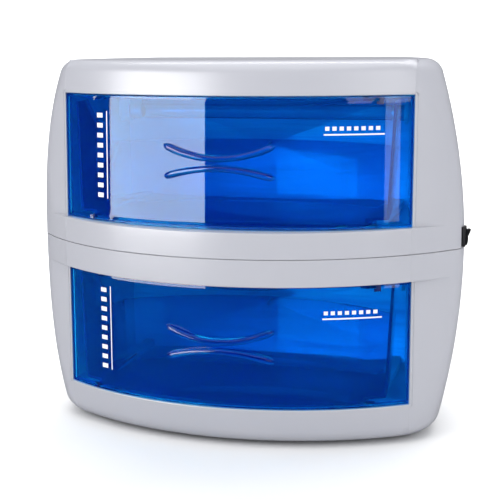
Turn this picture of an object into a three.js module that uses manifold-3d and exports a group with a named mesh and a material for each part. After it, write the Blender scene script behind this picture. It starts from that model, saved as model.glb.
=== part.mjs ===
// Two-drawer ultraviolet sterilizer cabinet for salon tools, in millimetres.
// X runs to the right of the front, the front faces -Y, Z is up, and the origin is on the
// ground under the middle of the cabinet.
import * as THREE from 'three';
import { mergeVertices } from 'three/addons/utils/BufferGeometryUtils.js';
import Module from 'manifold-3d';

const wasm = await Module();
wasm.setup();

// ---------------------------------------------------------------- driving dimensions

const housing = {
  width: 436, // across the widest part of the sides
  depth: 266, // from the belt's front to the flat back
  lowerHeight: 182, // from the base to the seam between the two halves
  upperHeight: 179.5, // from the seam to the top
  wall: 3,
  sideRadius: 330, // of the side walls, seen from above
  rearCornerRadius: 30,
  barrelPower: 2, // how the sides draw in above and below the seam
  facePower: 2.1, // how the front draws back above and below the seam
  seamGap: 0.4,
  widestPastTunnel: 10, // from the tunnel's end back to the widest part of the sides
};
// The front's bow is its rise over the chord of a drawer front.
const atSeam = { bow: 62.8, cornerRadius: 24, sideInset: 0, recess: 0 };
const atTop = { bow: 50, cornerRadius: 62, sideInset: 27.5, recess: 26.5, edgeRound: 11.5 };
const atBase = { bow: 51, cornerRadius: 58, sideInset: 24.5, recess: 20, edgeRound: 14 };

const window = {
  sideMargin: 45, // from the widest side to the opening
  beltAbove: 24.7, // from the seam up to the upper opening
  beltBelow: 25.9, // from the seam down to the lower opening
  topMargin: 31.9,
  baseMargin: 35.8,
  tunnelRoom: 0.03, // from the drawer front's rearmost edge to the end of the opening's sides
};

const front = {
  ledge: 13.5, // how far the belt stands ahead of the drawer fronts
  bow: 54.2, // rise of the face over its own width
  upperLean: 0.035, // how far each front leans back for each unit of height
  lowerLean: 0.011,
  thickness: 3,
  rimDepth: 7,
  rimWall: 2,
  gap: 0.8, // all round, in the opening
  clipHeight: 2.4,
  clipFrom: 1.5, // depth behind the face where the clips start, inside the plate
  clipTo: 9,
  clipGap: 0.6, // round a clip, in the notch that it takes in the bin's floor
  // Middle and length of each clip behind the upper and the lower edge.
  topClips: [
    [-128, 12],
    [135.5, 15],
  ],
  lowClips: [
    [-132, 16],
    [-107, 16],
    [109, 14],
    [135, 14],
  ],
};

const handle = {
  halfLength: 54,
  spacing: 9, // between the two ridges at the middle
  upperRise: 14,
  lowerRise: 11,
  width: 5,
  proud: 6,
  root: 1.5, // how far the ridges run back into the plate
  endPower: 8, // how late the ends round off
  endWidth: 0.12, // square of the share of the width left at the very end
};

const bin = {
  sideClearance: 11, // from the opening's side to the bin at its top edge
  floorLift: 3.2, // from the opening's lower edge to the bin's underside
  wall: 2.5,
  draft: 5.5,
  cornerRise: 9, // height of the rounded corner between floor and sides
  cornerInset: 9,
  rearTaper: 12, // how much narrower each side is at the rear
  rearBow: 52,
  frontHeight: 112,
  rearHeight: 66,
  railStepIn: 22, // width of the raised strip beside each side wall
  railStepRise: 5,
  frontJoint: 0.3,
  topTrim: 0.5,
  fallLength: 40, // over which the sides fall from the front's height to the rear's
};

const liner = {
  wall: 1.2,
  rearTaper: 12, // how much narrower each side is at the rear
  rearRoom: 49, // from the cabinet's back to the inside of the liner's rear wall
  joint: 0.3,
  rearGap: 13.5, // from the bin's rear wall to the liner's rear wall
};

const runner = {
  width: 11,
  clearance: 0.5, // below the bin's raised strip
  besideStep: 1.5, // from the strip's inner edge to the rail
  wallGap: 0.3,
  endRoom: 4,
  chamfer: 3,
};

const lamp = {
  tubeRadius: 7.75,
  capWall: 0.25,
  capChamfer: 1,
  capLength: 13,
  capOverlap: 9,
  fit: 0.3,
  endRoom: 29, // from the tube's end to the opening's side
  dropBelowCeiling: 24,
  aheadOfRear: 26,
  pinRadius: 1.2,
  pinSpacing: 4.75,
  pinLength: 7.6,
};

const holder = { thickness: 11, depth: 20, below: 11, chamfer: 5, pinClearance: 0.4 };

const reflector = {
  wall: 0.8,
  topWidth: 22,
  reach: 25, // from the lamp to each lower edge
  drop: 9,
  bendOut: 0.32, // extra width of the outside at the bends
  endGap: 3,
  ceilingGap: 6,
};

const deck = { wall: 1.5, lift: 0.3, sideRoom: 34, frontRoom: 2, rearRoom: 60, lip: 8 };
const ballast = {
  length: 118,
  depth: 38,
  height: 26,
  flange: 9,
  flangeDepth: 22.8,
  flangeWall: 2,
  fromMiddle: 84,
};
const terminal = { length: 46, depth: 18, height: 16, ways: 4, wayRadius: 2.2, wayDepth: 6 };

const foot = {
  radius: 10,
  height: 4,
  frontX: 112,
  rearX: 128,
  fromFront: 88,
  fromRear: 38,
  recessRadius: 5,
  recessDepth: 2.4,
  boreRadius: 2.1,
  chamfer: 1.2,
  joint: 0.3,
};

const cover = {
  halfWidth: 106,
  fromBase: 34,
  fromTop: 36,
  thickness: 2.5,
  sunk: 2.6, // how far the cover's outside is below the cabinet's back
  gap: 0.5,
  seat: 9, // width of the ledge it is screwed to
  padDepth: 9,
  padBorder: 4,
  slotLength: 62,
  slotHeight: 3.2,
  slotPitch: 8,
  slotCount: 7,
  slotFromMiddle: 52,
  lowerSlotsFromBase: 106,
  upperSlotsFromTop: 62,
};

const screw = {
  headRadius: 3.2,
  headHeight: 1.9,
  shankRadius: 1.4,
  shankLength: 7,
  clearance: 0.35,
  pilotClearance: 0.3,
  pilotDepth: 7,
  slotLength: 5.12,
  slotWidth: 0.9,
  slotDepth: 0.9,
};

const inlet = {
  width: 31,
  height: 24,
  flange: 2,
  bodyWidth: 27,
  bodyHeight: 19.5,
  bodyDepth: 19,
  mouthWidth: 23.6,
  mouthHeight: 16,
  mouthDepth: 15,
  corner: 5,
  flangeCorner: 2,
  bodyCorner: 1,
  pinWidth: 4,
  pinThickness: 2,
  pinLength: 12,
  pinSpacing: 7,
  pinRaise: 2,
  fit: 0.3,
  fromBase: 62,
  fromMiddle: 66,
};

const rocker = {
  bezelHeight: 19,
  bezelWidth: 14,
  bezelThickness: 2.6,
  seatDepth: 1.4,
  bodyHeight: 17.6,
  bodyWidth: 12.4,
  bodyDepth: 15,
  cavityDepth: 11.5,
  cavityRim: 0.8,
  cavityEndRoom: 0.6,
  halfHeight: 7.6,
  faceOut: 4.2,
  waistOut: 3.2,
  rimOut: 1.68,
  landFrom: 4.712, // from the pivot to where the flat ends begin
  tailIn: 5,
  tailHalf: 4,
  pivotIn: 0.9, // from the bezel's face in to the pivot
  sideGap: 0.45,
  tilt: 12, // degrees either side of level
  fit: 0.35,
  aboveSeam: 1.5, // from the seam to the bezel's lower edge
  behindWidest: 22,
};

const interlock = {
  width: 20,
  height: 11,
  depth: 9,
  rodRadius: 1.8,
  rodClearance: 0.25,
  restGap: 0.5, // from the rod's tip to the bin
  rodTail: 6,
  upperRodDrop: 8.3, // from the bin's rear edge down to the rod
  lowerRodDrop: 10.9,
};

const arcSteps = 20; // facets across the front
const cornerSteps = 4;
const sideSteps = 4;
const round = 12; // facets round small turned pieces
const finer = 16; // facets round the larger ones
const overrun = 1; // how far a cut runs on past what it cuts
const rearCut = 40; // how far in from the back the cuts for the cover and the inlet start

// ---------------------------------------------------------------- derived places

const baseZ = foot.height;
const seamZ = baseZ + housing.lowerHeight;
const topZ = seamZ + housing.upperHeight;
const beltY = -housing.depth / 2;
const backY = housing.depth / 2;
const openHalf = housing.width / 2 - window.sideMargin;
const frontHalf = openHalf - front.gap;
const faceY = beltY + front.ledge;
const frontRadius = radiusOf(openHalf, front.bow);
const frontDepth = front.thickness + front.rimDepth;
const upperLow = seamZ + window.beltAbove;
const upperHigh = topZ - window.topMargin;
const frontEndY = faceY + frontRadius - Math.sqrt((frontRadius - frontDepth) ** 2 - frontHalf ** 2);
const frontFallY = front.upperLean * (upperHigh - front.gap - upperLow);
const tunnelY = frontEndY + frontFallY + window.tunnelRoom;
const widestY = tunnelY + housing.widestPastTunnel;
const linerRearY = backY - liner.rearRoom;
const binRearY = linerRearY - liner.rearGap;
const far = 2 * housing.depth;

// Each chamber: its opening's lower and upper edge, and how far its front leans back.
const chambers = [
  {
    name: 'upper',
    low: upperLow,
    high: upperHigh,
    lean: front.upperLean,
    rodDrop: interlock.upperRodDrop,
  },
  {
    name: 'lower',
    low: baseZ + window.baseMargin,
    high: seamZ - window.beltBelow,
    lean: front.lowerLean,
    rodDrop: interlock.lowerRodDrop,
  },
];

// ---------------------------------------------------------------- colours

const finishes = {
  housing: { color: 0xd3d4d8, roughness: 0.28, metalness: 0 },
  blue: { color: 0x0b4fc0, roughness: 0.08, metalness: 0, transparent: true, opacity: 0.6 },
  steel: { color: 0xb9bcc0, roughness: 0.3, metalness: 1 },
  mirror: { color: 0xdadcdf, roughness: 0.08, metalness: 1 },
  glass: { color: 0xe6eef6, roughness: 0.05, metalness: 0, transparent: true, opacity: 0.4 },
  aluminium: { color: 0xa9acb0, roughness: 0.35, metalness: 1 },
  ivory: { color: 0xe9e6dc, roughness: 0.45, metalness: 0 },
  black: { color: 0x101012, roughness: 0.35, metalness: 0 },
  rubber: { color: 0x1c1c1e, roughness: 0.85, metalness: 0 },
  brass: { color: 0xc2a253, roughness: 0.3, metalness: 1 },
  grey: { color: 0x8f9296, roughness: 0.5, metalness: 0 },
};

// ---------------------------------------------------------------- helpers

function radiusOf(halfChord, bow) {
  return (halfChord * halfChord + bow * bow) / (2 * bow);
}

function mix(a, b, t) {
  return a + (b - a) * t;
}

function arc(cx, cy, r, from, to, steps) {
  const points = [];
  for (let i = 0; i <= steps; i += 1) {
    const a = mix(from, to, i / steps);
    points.push(new THREE.Vector2(cx + r * Math.cos(a), cy + r * Math.sin(a)));
  }
  return points;
}

function toSolid(geometry) {
  const plain = geometry.index ? geometry : geometry.clone();
  plain.deleteAttribute('normal');
  plain.deleteAttribute('uv');
  const merged = mergeVertices(plain, 1e-4);
  return new wasm.Manifold(
    new wasm.Mesh({
      numProp: 3,
      vertProperties: new Float32Array(merged.attributes.position.array),
      triVerts: new Uint32Array(merged.index.array),
    }),
  );
}

function toGeometry(solid) {
  const mesh = solid.getMesh();
  const geometry = new THREE.BufferGeometry();
  geometry.setAttribute('position', new THREE.BufferAttribute(mesh.vertProperties, 3));
  geometry.setIndex(new THREE.BufferAttribute(mesh.triVerts, 1));
  geometry.computeVertexNormals();
  return geometry;
}

// A closed solid through rings of equal length, each ring convex and anticlockwise from above.
function loft(rings) {
  const count = rings[0].length;
  const positions = rings.flatMap((ring) => ring.flatMap((p) => [p.x, p.y, p.z]));
  const index = [];
  for (let k = 0; k + 1 < rings.length; k += 1) {
    for (let i = 0; i < count; i += 1) {
      const a = k * count + i;
      const b = k * count + ((i + 1) % count);
      index.push(a, b, b + count, a, b + count, a + count);
    }
  }
  const last = (rings.length - 1) * count;
  for (let i = 1; i + 1 < count; i += 1) {
    index.push(0, i + 1, i);
    index.push(last, last + i, last + i + 1);
  }
  const geometry = new THREE.BufferGeometry();
  geometry.setAttribute('position', new THREE.Float32BufferAttribute(positions, 3));
  geometry.setIndex(index);
  return toSolid(geometry);
}

function box(x0, x1, y0, y1, z0, z1) {
  const geometry = new THREE.BoxGeometry(x1 - x0, y1 - y0, z1 - z0);
  geometry.translate((x0 + x1) / 2, (y0 + y1) / 2, (z0 + z1) / 2);
  return toSolid(geometry);
}

// An outline in X and Y raised from z0 to z1, sheared back by lean above z0.
function prism(points, z0, z1, lean = 0) {
  const geometry = new THREE.ExtrudeGeometry(new THREE.Shape(points), {
    depth: z1 - z0,
    bevelEnabled: false,
  });
  geometry.applyMatrix4(new THREE.Matrix4().set(1, 0, 0, 0, 0, 1, lean, 0, 0, 0, 1, z0, 0, 0, 0, 1));
  return toSolid(geometry);
}

// An outline in Y and Z carried along X.
function prismAlongX(points, x0, x1) {
  const geometry = new THREE.ExtrudeGeometry(new THREE.Shape(points), {
    depth: x1 - x0,
    bevelEnabled: false,
  });
  geometry.applyMatrix4(new THREE.Matrix4().set(0, 0, 1, x0, 1, 0, 0, 0, 0, 1, 0, 0, 0, 0, 0, 1));
  return toSolid(geometry);
}

// An outline in X and Z carried along Y, towards the back.
function prismAlongY(points, y0, y1) {
  const geometry = new THREE.ExtrudeGeometry(new THREE.Shape(points), {
    depth: y1 - y0,
    bevelEnabled: false,
  });
  geometry.applyMatrix4(new THREE.Matrix4().set(1, 0, 0, 0, 0, 0, -1, y1, 0, 1, 0, 0, 0, 0, 0, 1));
  return toSolid(geometry);
}

function cylinder(radius, from, to, steps = round) {
  const start = new THREE.Vector3(...from);
  const along = new THREE.Vector3(...to).sub(start);
  const geometry = new THREE.CylinderGeometry(radius, radius, along.length(), steps);
  geometry.translate(0, along.length() / 2, 0);
  const turn = new THREE.Quaternion().setFromUnitVectors(
    new THREE.Vector3(0, 1, 0),
    along.clone().normalize(),
  );
  geometry.applyQuaternion(turn);
  geometry.translate(start.x, start.y, start.z);
  return toSolid(geometry);
}

function roundedRectangle(halfWidth, halfHeight, radius) {
  const x = halfWidth - radius;
  const y = halfHeight - radius;
  const quarter = Math.PI / 2;
  return [
    ...arc(x, -y, radius, -quarter, 0, 3),
    ...arc(x, y, radius, 0, quarter, 3),
    ...arc(-x, y, radius, quarter, 2 * quarter, 3),
    ...arc(-x, -y, radius, 2 * quarter, 3 * quarter, 3),
  ];
}

function union(solids) {
  return solids.reduce((sum, solid) => sum.add(solid));
}

// ---------------------------------------------------------------- housing shape

// The cabinet's width, front and corners at a height.
function levelAt(z) {
  const above = z > seamZ;
  const end = above ? atTop : atBase;
  const t = Math.abs(z - seamZ) / (above ? housing.upperHeight : housing.lowerHeight);
  const side = t ** housing.barrelPower;
  const face = t ** housing.facePower;
  return {
    half: housing.width / 2 - end.sideInset * side,
    frontY: beltY + end.recess * face,
    radius: radiusOf(openHalf, mix(atSeam.bow, end.bow, face)),
    corner: mix(atSeam.cornerRadius, end.cornerRadius, side),
  };
}

// The cabinet seen from above at a height, drawn in by an inset: bowed front, rounded
// corners, gently curved sides and a flat back.
function outline(z, inset) {
  const level = levelAt(z);
  const radius = level.radius - inset;
  const sideR = housing.sideRadius - inset;
  const corner = Math.max(level.corner - inset, 1);
  const rear = Math.max(housing.rearCornerRadius - inset, 1);
  const frontCentre = new THREE.Vector2(0, level.frontY + level.radius);
  const sideCentre = new THREE.Vector2(level.half - housing.sideRadius, widestY);
  const cornerCentre = meet(frontCentre, radius - corner, sideCentre, sideR - corner);
  const rearY = backY - inset - rear;
  const rearX = sideCentre.x + Math.sqrt((sideR - rear) ** 2 - (rearY - widestY) ** 2);
  const frontEnd = cornerCentre.clone().sub(frontCentre).angle() - 2 * Math.PI;
  const sideStart = angleFrom(sideCentre, cornerCentre);
  const sideEnd = angleFrom(sideCentre, new THREE.Vector2(rearX, rearY));
  const half = [
    ...arc(frontCentre.x, frontCentre.y, radius, -Math.PI / 2, frontEnd, arcSteps / 2),
    ...arc(cornerCentre.x, cornerCentre.y, corner, frontEnd, sideStart, cornerSteps).slice(1),
    ...arc(sideCentre.x, sideCentre.y, sideR, sideStart, sideEnd, sideSteps).slice(1),
    ...arc(rearX, rearY, rear, sideEnd, Math.PI / 2, cornerSteps).slice(1),
  ];
  const other = half
    .slice(1)
    .reverse()
    .map((p) => new THREE.Vector2(-p.x, p.y));
  return [...half, ...other].map((p) => new THREE.Vector3(p.x, p.y, z));
}

function angleFrom(centre, point) {
  return Math.atan2(point.y - centre.y, point.x - centre.x);
}

// The point at distance a from p and b from q, on the front right of the line between them.
function meet(p, a, q, b) {
  const gap = q.clone().sub(p);
  const distance = gap.length();
  const along = (a * a - b * b + distance * distance) / (2 * distance);
  const aside = Math.sqrt(Math.max(a * a - along * along, 0));
  const unit = gap.divideScalar(distance);
  const choices = [-1, 1].map(
    (side) =>
      new THREE.Vector2(
        p.x + unit.x * along - unit.y * aside * side,
        p.y + unit.y * along + unit.x * aside * side,
      ),
  );
  return choices[0].x - choices[0].y > choices[1].x - choices[1].y ? choices[0] : choices[1];
}

function levels(from, to, steps) {
  return Array.from({ length: steps + 1 }, (_, i) => mix(from, to, i / steps));
}

// The whole barrel between the base and the top, drawn in by an inset.
function barrel(inset) {
  const rings = [];
  const edge = (round) => Math.max(round - inset, 1);
  const lowRound = edge(atBase.edgeRound);
  const highRound = edge(atTop.edgeRound);
  const low = baseZ + inset;
  const high = topZ - inset;
  for (const t of [0, 0.3, 0.6, 0.85]) {
    const a = (t * Math.PI) / 2;
    const drawn = inset + lowRound * (1 - Math.sin(a));
    rings.push(outline(low + lowRound * (1 - Math.cos(a)), drawn));
  }
  levels(low + lowRound, seamZ, 6).forEach((z) => rings.push(outline(z, inset)));
  levels(seamZ, high - highRound, 6)
    .slice(1)
    .forEach((z) => rings.push(outline(z, inset)));
  for (const t of [0.15, 0.4, 0.7, 1]) {
    const a = (t * Math.PI) / 2;
    const drawn = inset + highRound * (1 - Math.cos(a));
    rings.push(outline(high - highRound * (1 - Math.sin(a)), drawn));
  }
  return loft(rings);
}

// Everything ahead of the drawer fronts' bowed face, set back by an amount.
function aheadOfFace(low, high, setBack, lean, leanFrom) {
  const half = housing.width;
  const edge = frontRadius - setBack;
  const reach = Math.min(half, edge * 0.98);
  const a = Math.asin(reach / edge);
  const start = -Math.PI / 2;
  const points = [
    ...arc(0, faceY + frontRadius, edge, start - a, start + a, 2 * arcSteps),
    new THREE.Vector2(half, -far),
    new THREE.Vector2(-half, -far),
  ];
  const solid = prism(points, low, high, lean);
  return solid.translate([0, lean * (low - leanFrom), 0]);
}

// ---------------------------------------------------------------- casings

// The place where the rocker switch sits, on the right-hand side.
const switchZ = seamZ + rocker.aboveSeam + rocker.bezelHeight / 2;
const switchY = widestY + rocker.behindWidest;
const switchX =
  housing.width / 2 -
  housing.sideRadius +
  Math.sqrt(housing.sideRadius ** 2 - rocker.behindWidest ** 2);
const bezelX = switchX - rocker.seatDepth;
const pivotX = bezelX + rocker.bezelThickness - rocker.pivotIn;

const footPlaces = [
  ['front_left', -foot.frontX, beltY + foot.fromFront],
  ['front_right', foot.frontX, beltY + foot.fromFront],
  ['rear_left', -foot.rearX, backY - foot.fromRear],
  ['rear_right', foot.rearX, backY - foot.fromRear],
];

const coverLow = baseZ + cover.fromBase;
const coverHigh = topZ - cover.fromTop;
const coverScrewPlaces = [
  ['low_left', -1, coverLow + cover.seat],
  ['low_right', 1, coverLow + cover.seat],
  ['mid_left', -1, seamZ - 2 * cover.seat],
  ['mid_right', 1, seamZ - 2 * cover.seat],
  ['high_left', -1, coverHigh - cover.seat],
  ['high_right', 1, coverHigh - cover.seat],
].map(([name, side, z]) => [name, side * (cover.halfWidth - cover.seat / 2), z]);

// Both halves of the shell in one, before they are parted at the seam.
function wholeShell() {
  const w = housing.wall;
  let outer = barrel(0);
  let inner = barrel(w);
  for (const c of chambers) {
    outer = outer.subtract(aheadOfFace(c.low, c.high, 0, c.lean, c.low));
    inner = inner.subtract(aheadOfFace(c.low - w, c.high + w, w, c.lean, c.low));
  }
  let shell = outer.subtract(inner);
  for (const c of chambers) {
    const half = openHalf + w;
    const collar = box(-half, half, -far, tunnelY, c.low - w, c.high + w).intersect(outer);
    shell = shell.add(collar);
    shell = shell.subtract(box(-openHalf, openHalf, -far, tunnelY + overrun, c.low, c.high));
  }
  return shell.add(coverPad().intersect(outer)).subtract(coverRecess());
}

// The thickened frame round the back opening, and what is cut out of it.
function coverPad() {
  const half = cover.halfWidth + cover.padBorder;
  const padFront = backY - housing.wall - cover.padDepth;
  const low = coverLow - cover.padBorder;
  const high = coverHigh + cover.padBorder;
  return box(-half, half, padFront, backY, low, high);
}

function coverRecess() {
  const half = cover.halfWidth;
  const seat = cover.halfWidth - cover.seat;
  const seatY = backY - cover.sunk - cover.thickness - cover.gap;
  const low = coverLow;
  const high = coverHigh;
  const recess = box(-half, half, seatY, far, low, high);
  const border = 2 * cover.seat;
  const through = box(-seat, seat, backY - rearCut, far, low + border, high - border);
  const pilotY = seatY - screw.pilotDepth;
  const pilots = coverScrewPlaces.map(([, x, z]) =>
    cylinder(screw.shankRadius + screw.pilotClearance, [x, pilotY, z], [x, far, z]),
  );
  return union([recess, through, ...pilots]);
}

function upperHousing(shell) {
  const half = shell.intersect(box(-far, far, -far, far, seamZ + housing.seamGap / 2, far));
  return half.subtract(switchCutout());
}

function lowerHousing(shell) {
  const half = shell.intersect(box(-far, far, -far, far, -far, seamZ - housing.seamGap / 2));
  const bores = footPlaces.map(([, x, y]) =>
    cylinder(screw.shankRadius + screw.pilotClearance, [x, y, 0], [x, y, baseZ + atBase.edgeRound]),
  );
  return half.subtract(union(bores));
}

function switchCutout() {
  const fit = rocker.fit;
  const out = rocker.bodyDepth;
  const seat = centredBox(bezelX, 2 * fit + rocker.bezelWidth, 2 * fit + rocker.bezelHeight, out);
  const width = 2 * fit + rocker.bodyWidth;
  const hole = centredBox(bezelX - out, width, 2 * fit + rocker.bodyHeight, 2 * out);
  return seat.add(hole);
}

// A box centred on the switch, from x outwards.
function centredBox(x, width, height, length) {
  return box(
    x,
    x + length,
    switchY - width / 2,
    switchY + width / 2,
    switchZ - height / 2,
    switchZ + height / 2,
  );
}

function rearCover() {
  const half = cover.halfWidth - cover.gap;
  const y1 = backY - cover.sunk;
  const y0 = y1 - cover.thickness;
  let plate = box(-half, half, y0, y1, coverLow + cover.gap, coverHigh - cover.gap);
  const rows = [
    baseZ + cover.lowerSlotsFromBase,
    topZ - cover.upperSlotsFromTop - (cover.slotCount - 1) * cover.slotPitch,
  ];
  for (const start of rows) {
    for (const side of [-1, 1]) {
      for (let i = 0; i < cover.slotCount; i += 1) {
        plate = plate.subtract(ventSlot(side * cover.slotFromMiddle, start + i * cover.slotPitch));
      }
    }
  }
  for (const [, x, z] of coverScrewPlaces) {
    const r = screw.shankRadius + screw.clearance;
    plate = plate.subtract(cylinder(r, [x, y0 - overrun, z], [x, y1 + overrun, z]));
  }
  return plate.subtract(inletHole());
}

function ventSlot(x, z) {
  const halfLength = cover.slotLength / 2;
  const r = cover.slotHeight / 2;
  const points = [
    ...arc(x + halfLength - r, z, r, -Math.PI / 2, Math.PI / 2, 3),
    ...arc(x - halfLength + r, z, r, Math.PI / 2, 1.5 * Math.PI, 3),
  ];
  return prismAlongY(points, backY - rearCut, far);
}

function screwSolid(x, y, z, axis) {
  const at = (d) => [x, y, z].map((v, i) => v + axis[i] * d);
  const head = cylinder(screw.headRadius, at(0), at(screw.headHeight));
  const shank = cylinder(screw.shankRadius, at(screw.headHeight / 2), at(-screw.shankLength));
  const slot = box(
    -screw.slotLength / 2,
    screw.slotLength / 2,
    -screw.slotWidth / 2,
    screw.slotWidth / 2,
    screw.headHeight - screw.slotDepth,
    far,
  );
  const cross = slot.add(slot.rotate([0, 0, 90]));
  const turned = axis[1] ? cross.rotate([-90, 0, 0]) : cross.rotate([180, 0, 0]);
  return head.add(shank).subtract(turned.translate([x, y, z]));
}

function footSolid(x, y) {
  const top = baseZ - foot.joint;
  const profile = [
    [foot.boreRadius, foot.recessDepth],
    [foot.recessRadius, foot.recessDepth],
    [foot.recessRadius, 0],
    [foot.radius - foot.chamfer, 0],
    [foot.radius, foot.chamfer],
    [foot.radius, top],
    [foot.boreRadius, top],
    [foot.boreRadius, foot.recessDepth],
  ].map(([r, z]) => new THREE.Vector2(r, z));
  const geometry = new THREE.LatheGeometry(profile, finer);
  geometry.rotateX(Math.PI / 2);
  geometry.translate(x, y, 0);
  return toSolid(geometry);
}

// ---------------------------------------------------------------- chambers

function linerSolid(c) {
  const w = liner.wall;
  const y0 = tunnelY + liner.joint;
  const plan = (grow, yFront) => [
    new THREE.Vector2(-(openHalf + grow), yFront),
    new THREE.Vector2(openHalf + grow, yFront),
    new THREE.Vector2(openHalf - liner.rearTaper + grow, linerRearY + grow),
    new THREE.Vector2(-(openHalf - liner.rearTaper + grow), linerRearY + grow),
  ];
  const shell = prism(plan(w, y0), c.low - w, c.high + w);
  const hollow = prism(plan(0, y0 - overrun), c.low, c.high);
  const r = interlock.rodRadius + interlock.rodClearance;
  const z = rodZ(c);
  const rodHole = cylinder(r, [0, linerRearY - overrun, z], [0, linerRearY + w + overrun, z]);
  return shell.subtract(hollow).subtract(rodHole);
}

// The height of the plunger that the closed drawer's bin pushes.
function rodZ(c) {
  return c.low + bin.floorLift + bin.rearHeight - c.rodDrop;
}

// Half the distance across the bin at its floor strip's inner edge.
const stepX = openHalf - bin.sideClearance - bin.draft - bin.railStepIn;

// Rails on the chamber's floor that the bin's raised strips slide on.
function runnerSolid(c, side) {
  const x0 = stepX + runner.besideStep;
  const top = c.low + bin.floorLift + bin.railStepRise - runner.clearance;
  const y0 = tunnelY + liner.joint + runner.endRoom;
  const y1 = linerRearY - runner.endRoom;
  const z0 = c.low + runner.wallGap;
  const profile = [
    new THREE.Vector2(y0, z0),
    new THREE.Vector2(y1, z0),
    new THREE.Vector2(y1, top),
    new THREE.Vector2(y0 + runner.chamfer, top),
    new THREE.Vector2(y0, top - runner.chamfer),
  ];
  const rail = prismAlongX(profile, x0, x0 + runner.width);
  return side > 0 ? rail : rail.mirror([1, 0, 0]);
}

// The bin seen from above at a height over its underside, drawn in by an inset.
function binRing(c, rise, inset, z) {
  const corner = rise < bin.cornerRise ? 1 - rise / bin.cornerRise : 0;
  const draft = bin.draft * (1 - rise / bin.frontHeight) + bin.cornerInset * corner ** 2;
  const half = openHalf - bin.sideClearance - draft - inset;
  const rearHalf = half - bin.rearTaper;
  const rearY = binRearY - draft - inset;
  const radius = radiusOf(rearHalf, bin.rearBow);
  const a = Math.asin(rearHalf / radius);
  const middle = Math.PI / 2;
  const rear = arc(0, rearY - radius, radius, middle - a, middle + a, arcSteps);
  const ring = [new THREE.Vector2(-half, faceY), new THREE.Vector2(half, faceY), ...rear];
  return ring.map((p) => new THREE.Vector3(p.x, p.y, z));
}

function binSolid(c) {
  const floor = c.low + bin.floorLift;
  const rises = [0, bin.cornerRise / 3, bin.cornerRise, bin.frontHeight];
  const outer = loft(rises.map((rise) => binRing(c, rise, 0, floor + rise)));
  const w = bin.wall;
  let inner = loft(rises.map((rise) => binRing(c, rise, w, floor + rise + w)));
  for (const side of [-1, 1]) {
    const x = [side * (stepX - w), side * housing.width].sort((p, q) => p - q);
    inner = inner.subtract(box(x[0], x[1], -far, far, 0, floor + bin.railStepRise + w));
  }
  let shell = outer.subtract(inner);
  for (const side of [-1, 1]) {
    const x = [side * stepX, side * housing.width].sort((p, q) => p - q);
    shell = shell.subtract(box(x[0], x[1], -far, far, 0, floor + bin.railStepRise));
  }
  const back = front.thickness + bin.frontJoint;
  shell = shell.subtract(aheadOfFace(0, far, back, c.lean, c.low));
  return shell.subtract(aboveBin(floor)).subtract(clipNotches(c));
}

// Notches in the bin's floor for the drawer front's lower clips.
function clipNotches(c) {
  const gap = front.clipGap;
  const top = c.low + front.gap + front.rimWall + front.clipHeight + gap;
  const notches = front.lowClips.map(([x, length]) =>
    box(x - length / 2 - gap, x + length / 2 + gap, -far, far, c.low, top),
  );
  return union(notches).intersect(aheadOfFace(0, far, front.clipTo + gap, c.lean, c.low));
}

// What is cut off the bin's top, so that its sides fall away under the lamp.
function aboveBin(floor) {
  const points = [
    new THREE.Vector2(-far, floor + bin.frontHeight - bin.topTrim),
    new THREE.Vector2(tunnelY, floor + bin.frontHeight - bin.topTrim),
    new THREE.Vector2(tunnelY + bin.fallLength, floor + bin.rearHeight),
    new THREE.Vector2(far, floor + bin.rearHeight),
    new THREE.Vector2(far, far),
    new THREE.Vector2(-far, far),
  ];
  return prismAlongX(points, -housing.width, housing.width);
}

// The blue front: a bowed plate with a rim behind it, clips and two moulded grip ridges.
function frontSolid(c) {
  const low = c.low + front.gap;
  const high = c.high - front.gap;
  const plate = bowedPlate(frontHalf, 0, frontDepth, low, high, c.lean);
  const hollow = bowedPlate(
    frontHalf - front.rimWall,
    front.thickness,
    2 * frontDepth,
    low + front.rimWall,
    high - front.rimWall,
    c.lean,
  ).translate([0, c.lean * front.rimWall, 0]);
  const offset = c.lean * front.gap;
  const body = plate.subtract(hollow).translate([0, offset, 0]);
  const middle = (c.low + c.high) / 2;
  const ridges = [1, -1].map((side) => gripRidge(side, middle, c.lean * (middle - c.low)));
  const reach = front.rimWall / 2;
  const topZ0 = high - front.rimWall - front.clipHeight;
  const lowZ1 = low + front.rimWall + front.clipHeight;
  const clips = [
    ...front.topClips.map(([x, length]) => clip(c, x, length, topZ0, high - reach)),
    ...front.lowClips.map(([x, length]) => clip(c, x, length, low + reach, lowZ1)),
  ];
  return union([body, ...ridges, ...clips]);
}

// A clip behind the plate's edge, where the front snaps on to its bin.
function clip(c, x, length, low, high) {
  const band = bowedPlate(frontHalf, front.clipFrom, front.clipTo, low, high, c.lean);
  const span = box(x - length / 2, x + length / 2, -far, far, 0, far);
  return band.translate([0, c.lean * (low - c.low), 0]).intersect(span);
}

// A plate between two bows, from one depth behind the face to another.
function bowedPlate(half, near, deep, low, high, lean) {
  const centreY = faceY + frontRadius;
  const start = -Math.PI / 2;
  const span = (r) => Math.asin(half / r);
  const outerR = frontRadius - near;
  const innerR = frontRadius - deep;
  const points = [
    ...arc(0, centreY, outerR, start - span(outerR), start + span(outerR), arcSteps),
    ...arc(0, centreY, innerR, start + span(innerR), start - span(innerR), arcSteps),
  ];
  return prism(points, low, high, lean);
}

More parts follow.
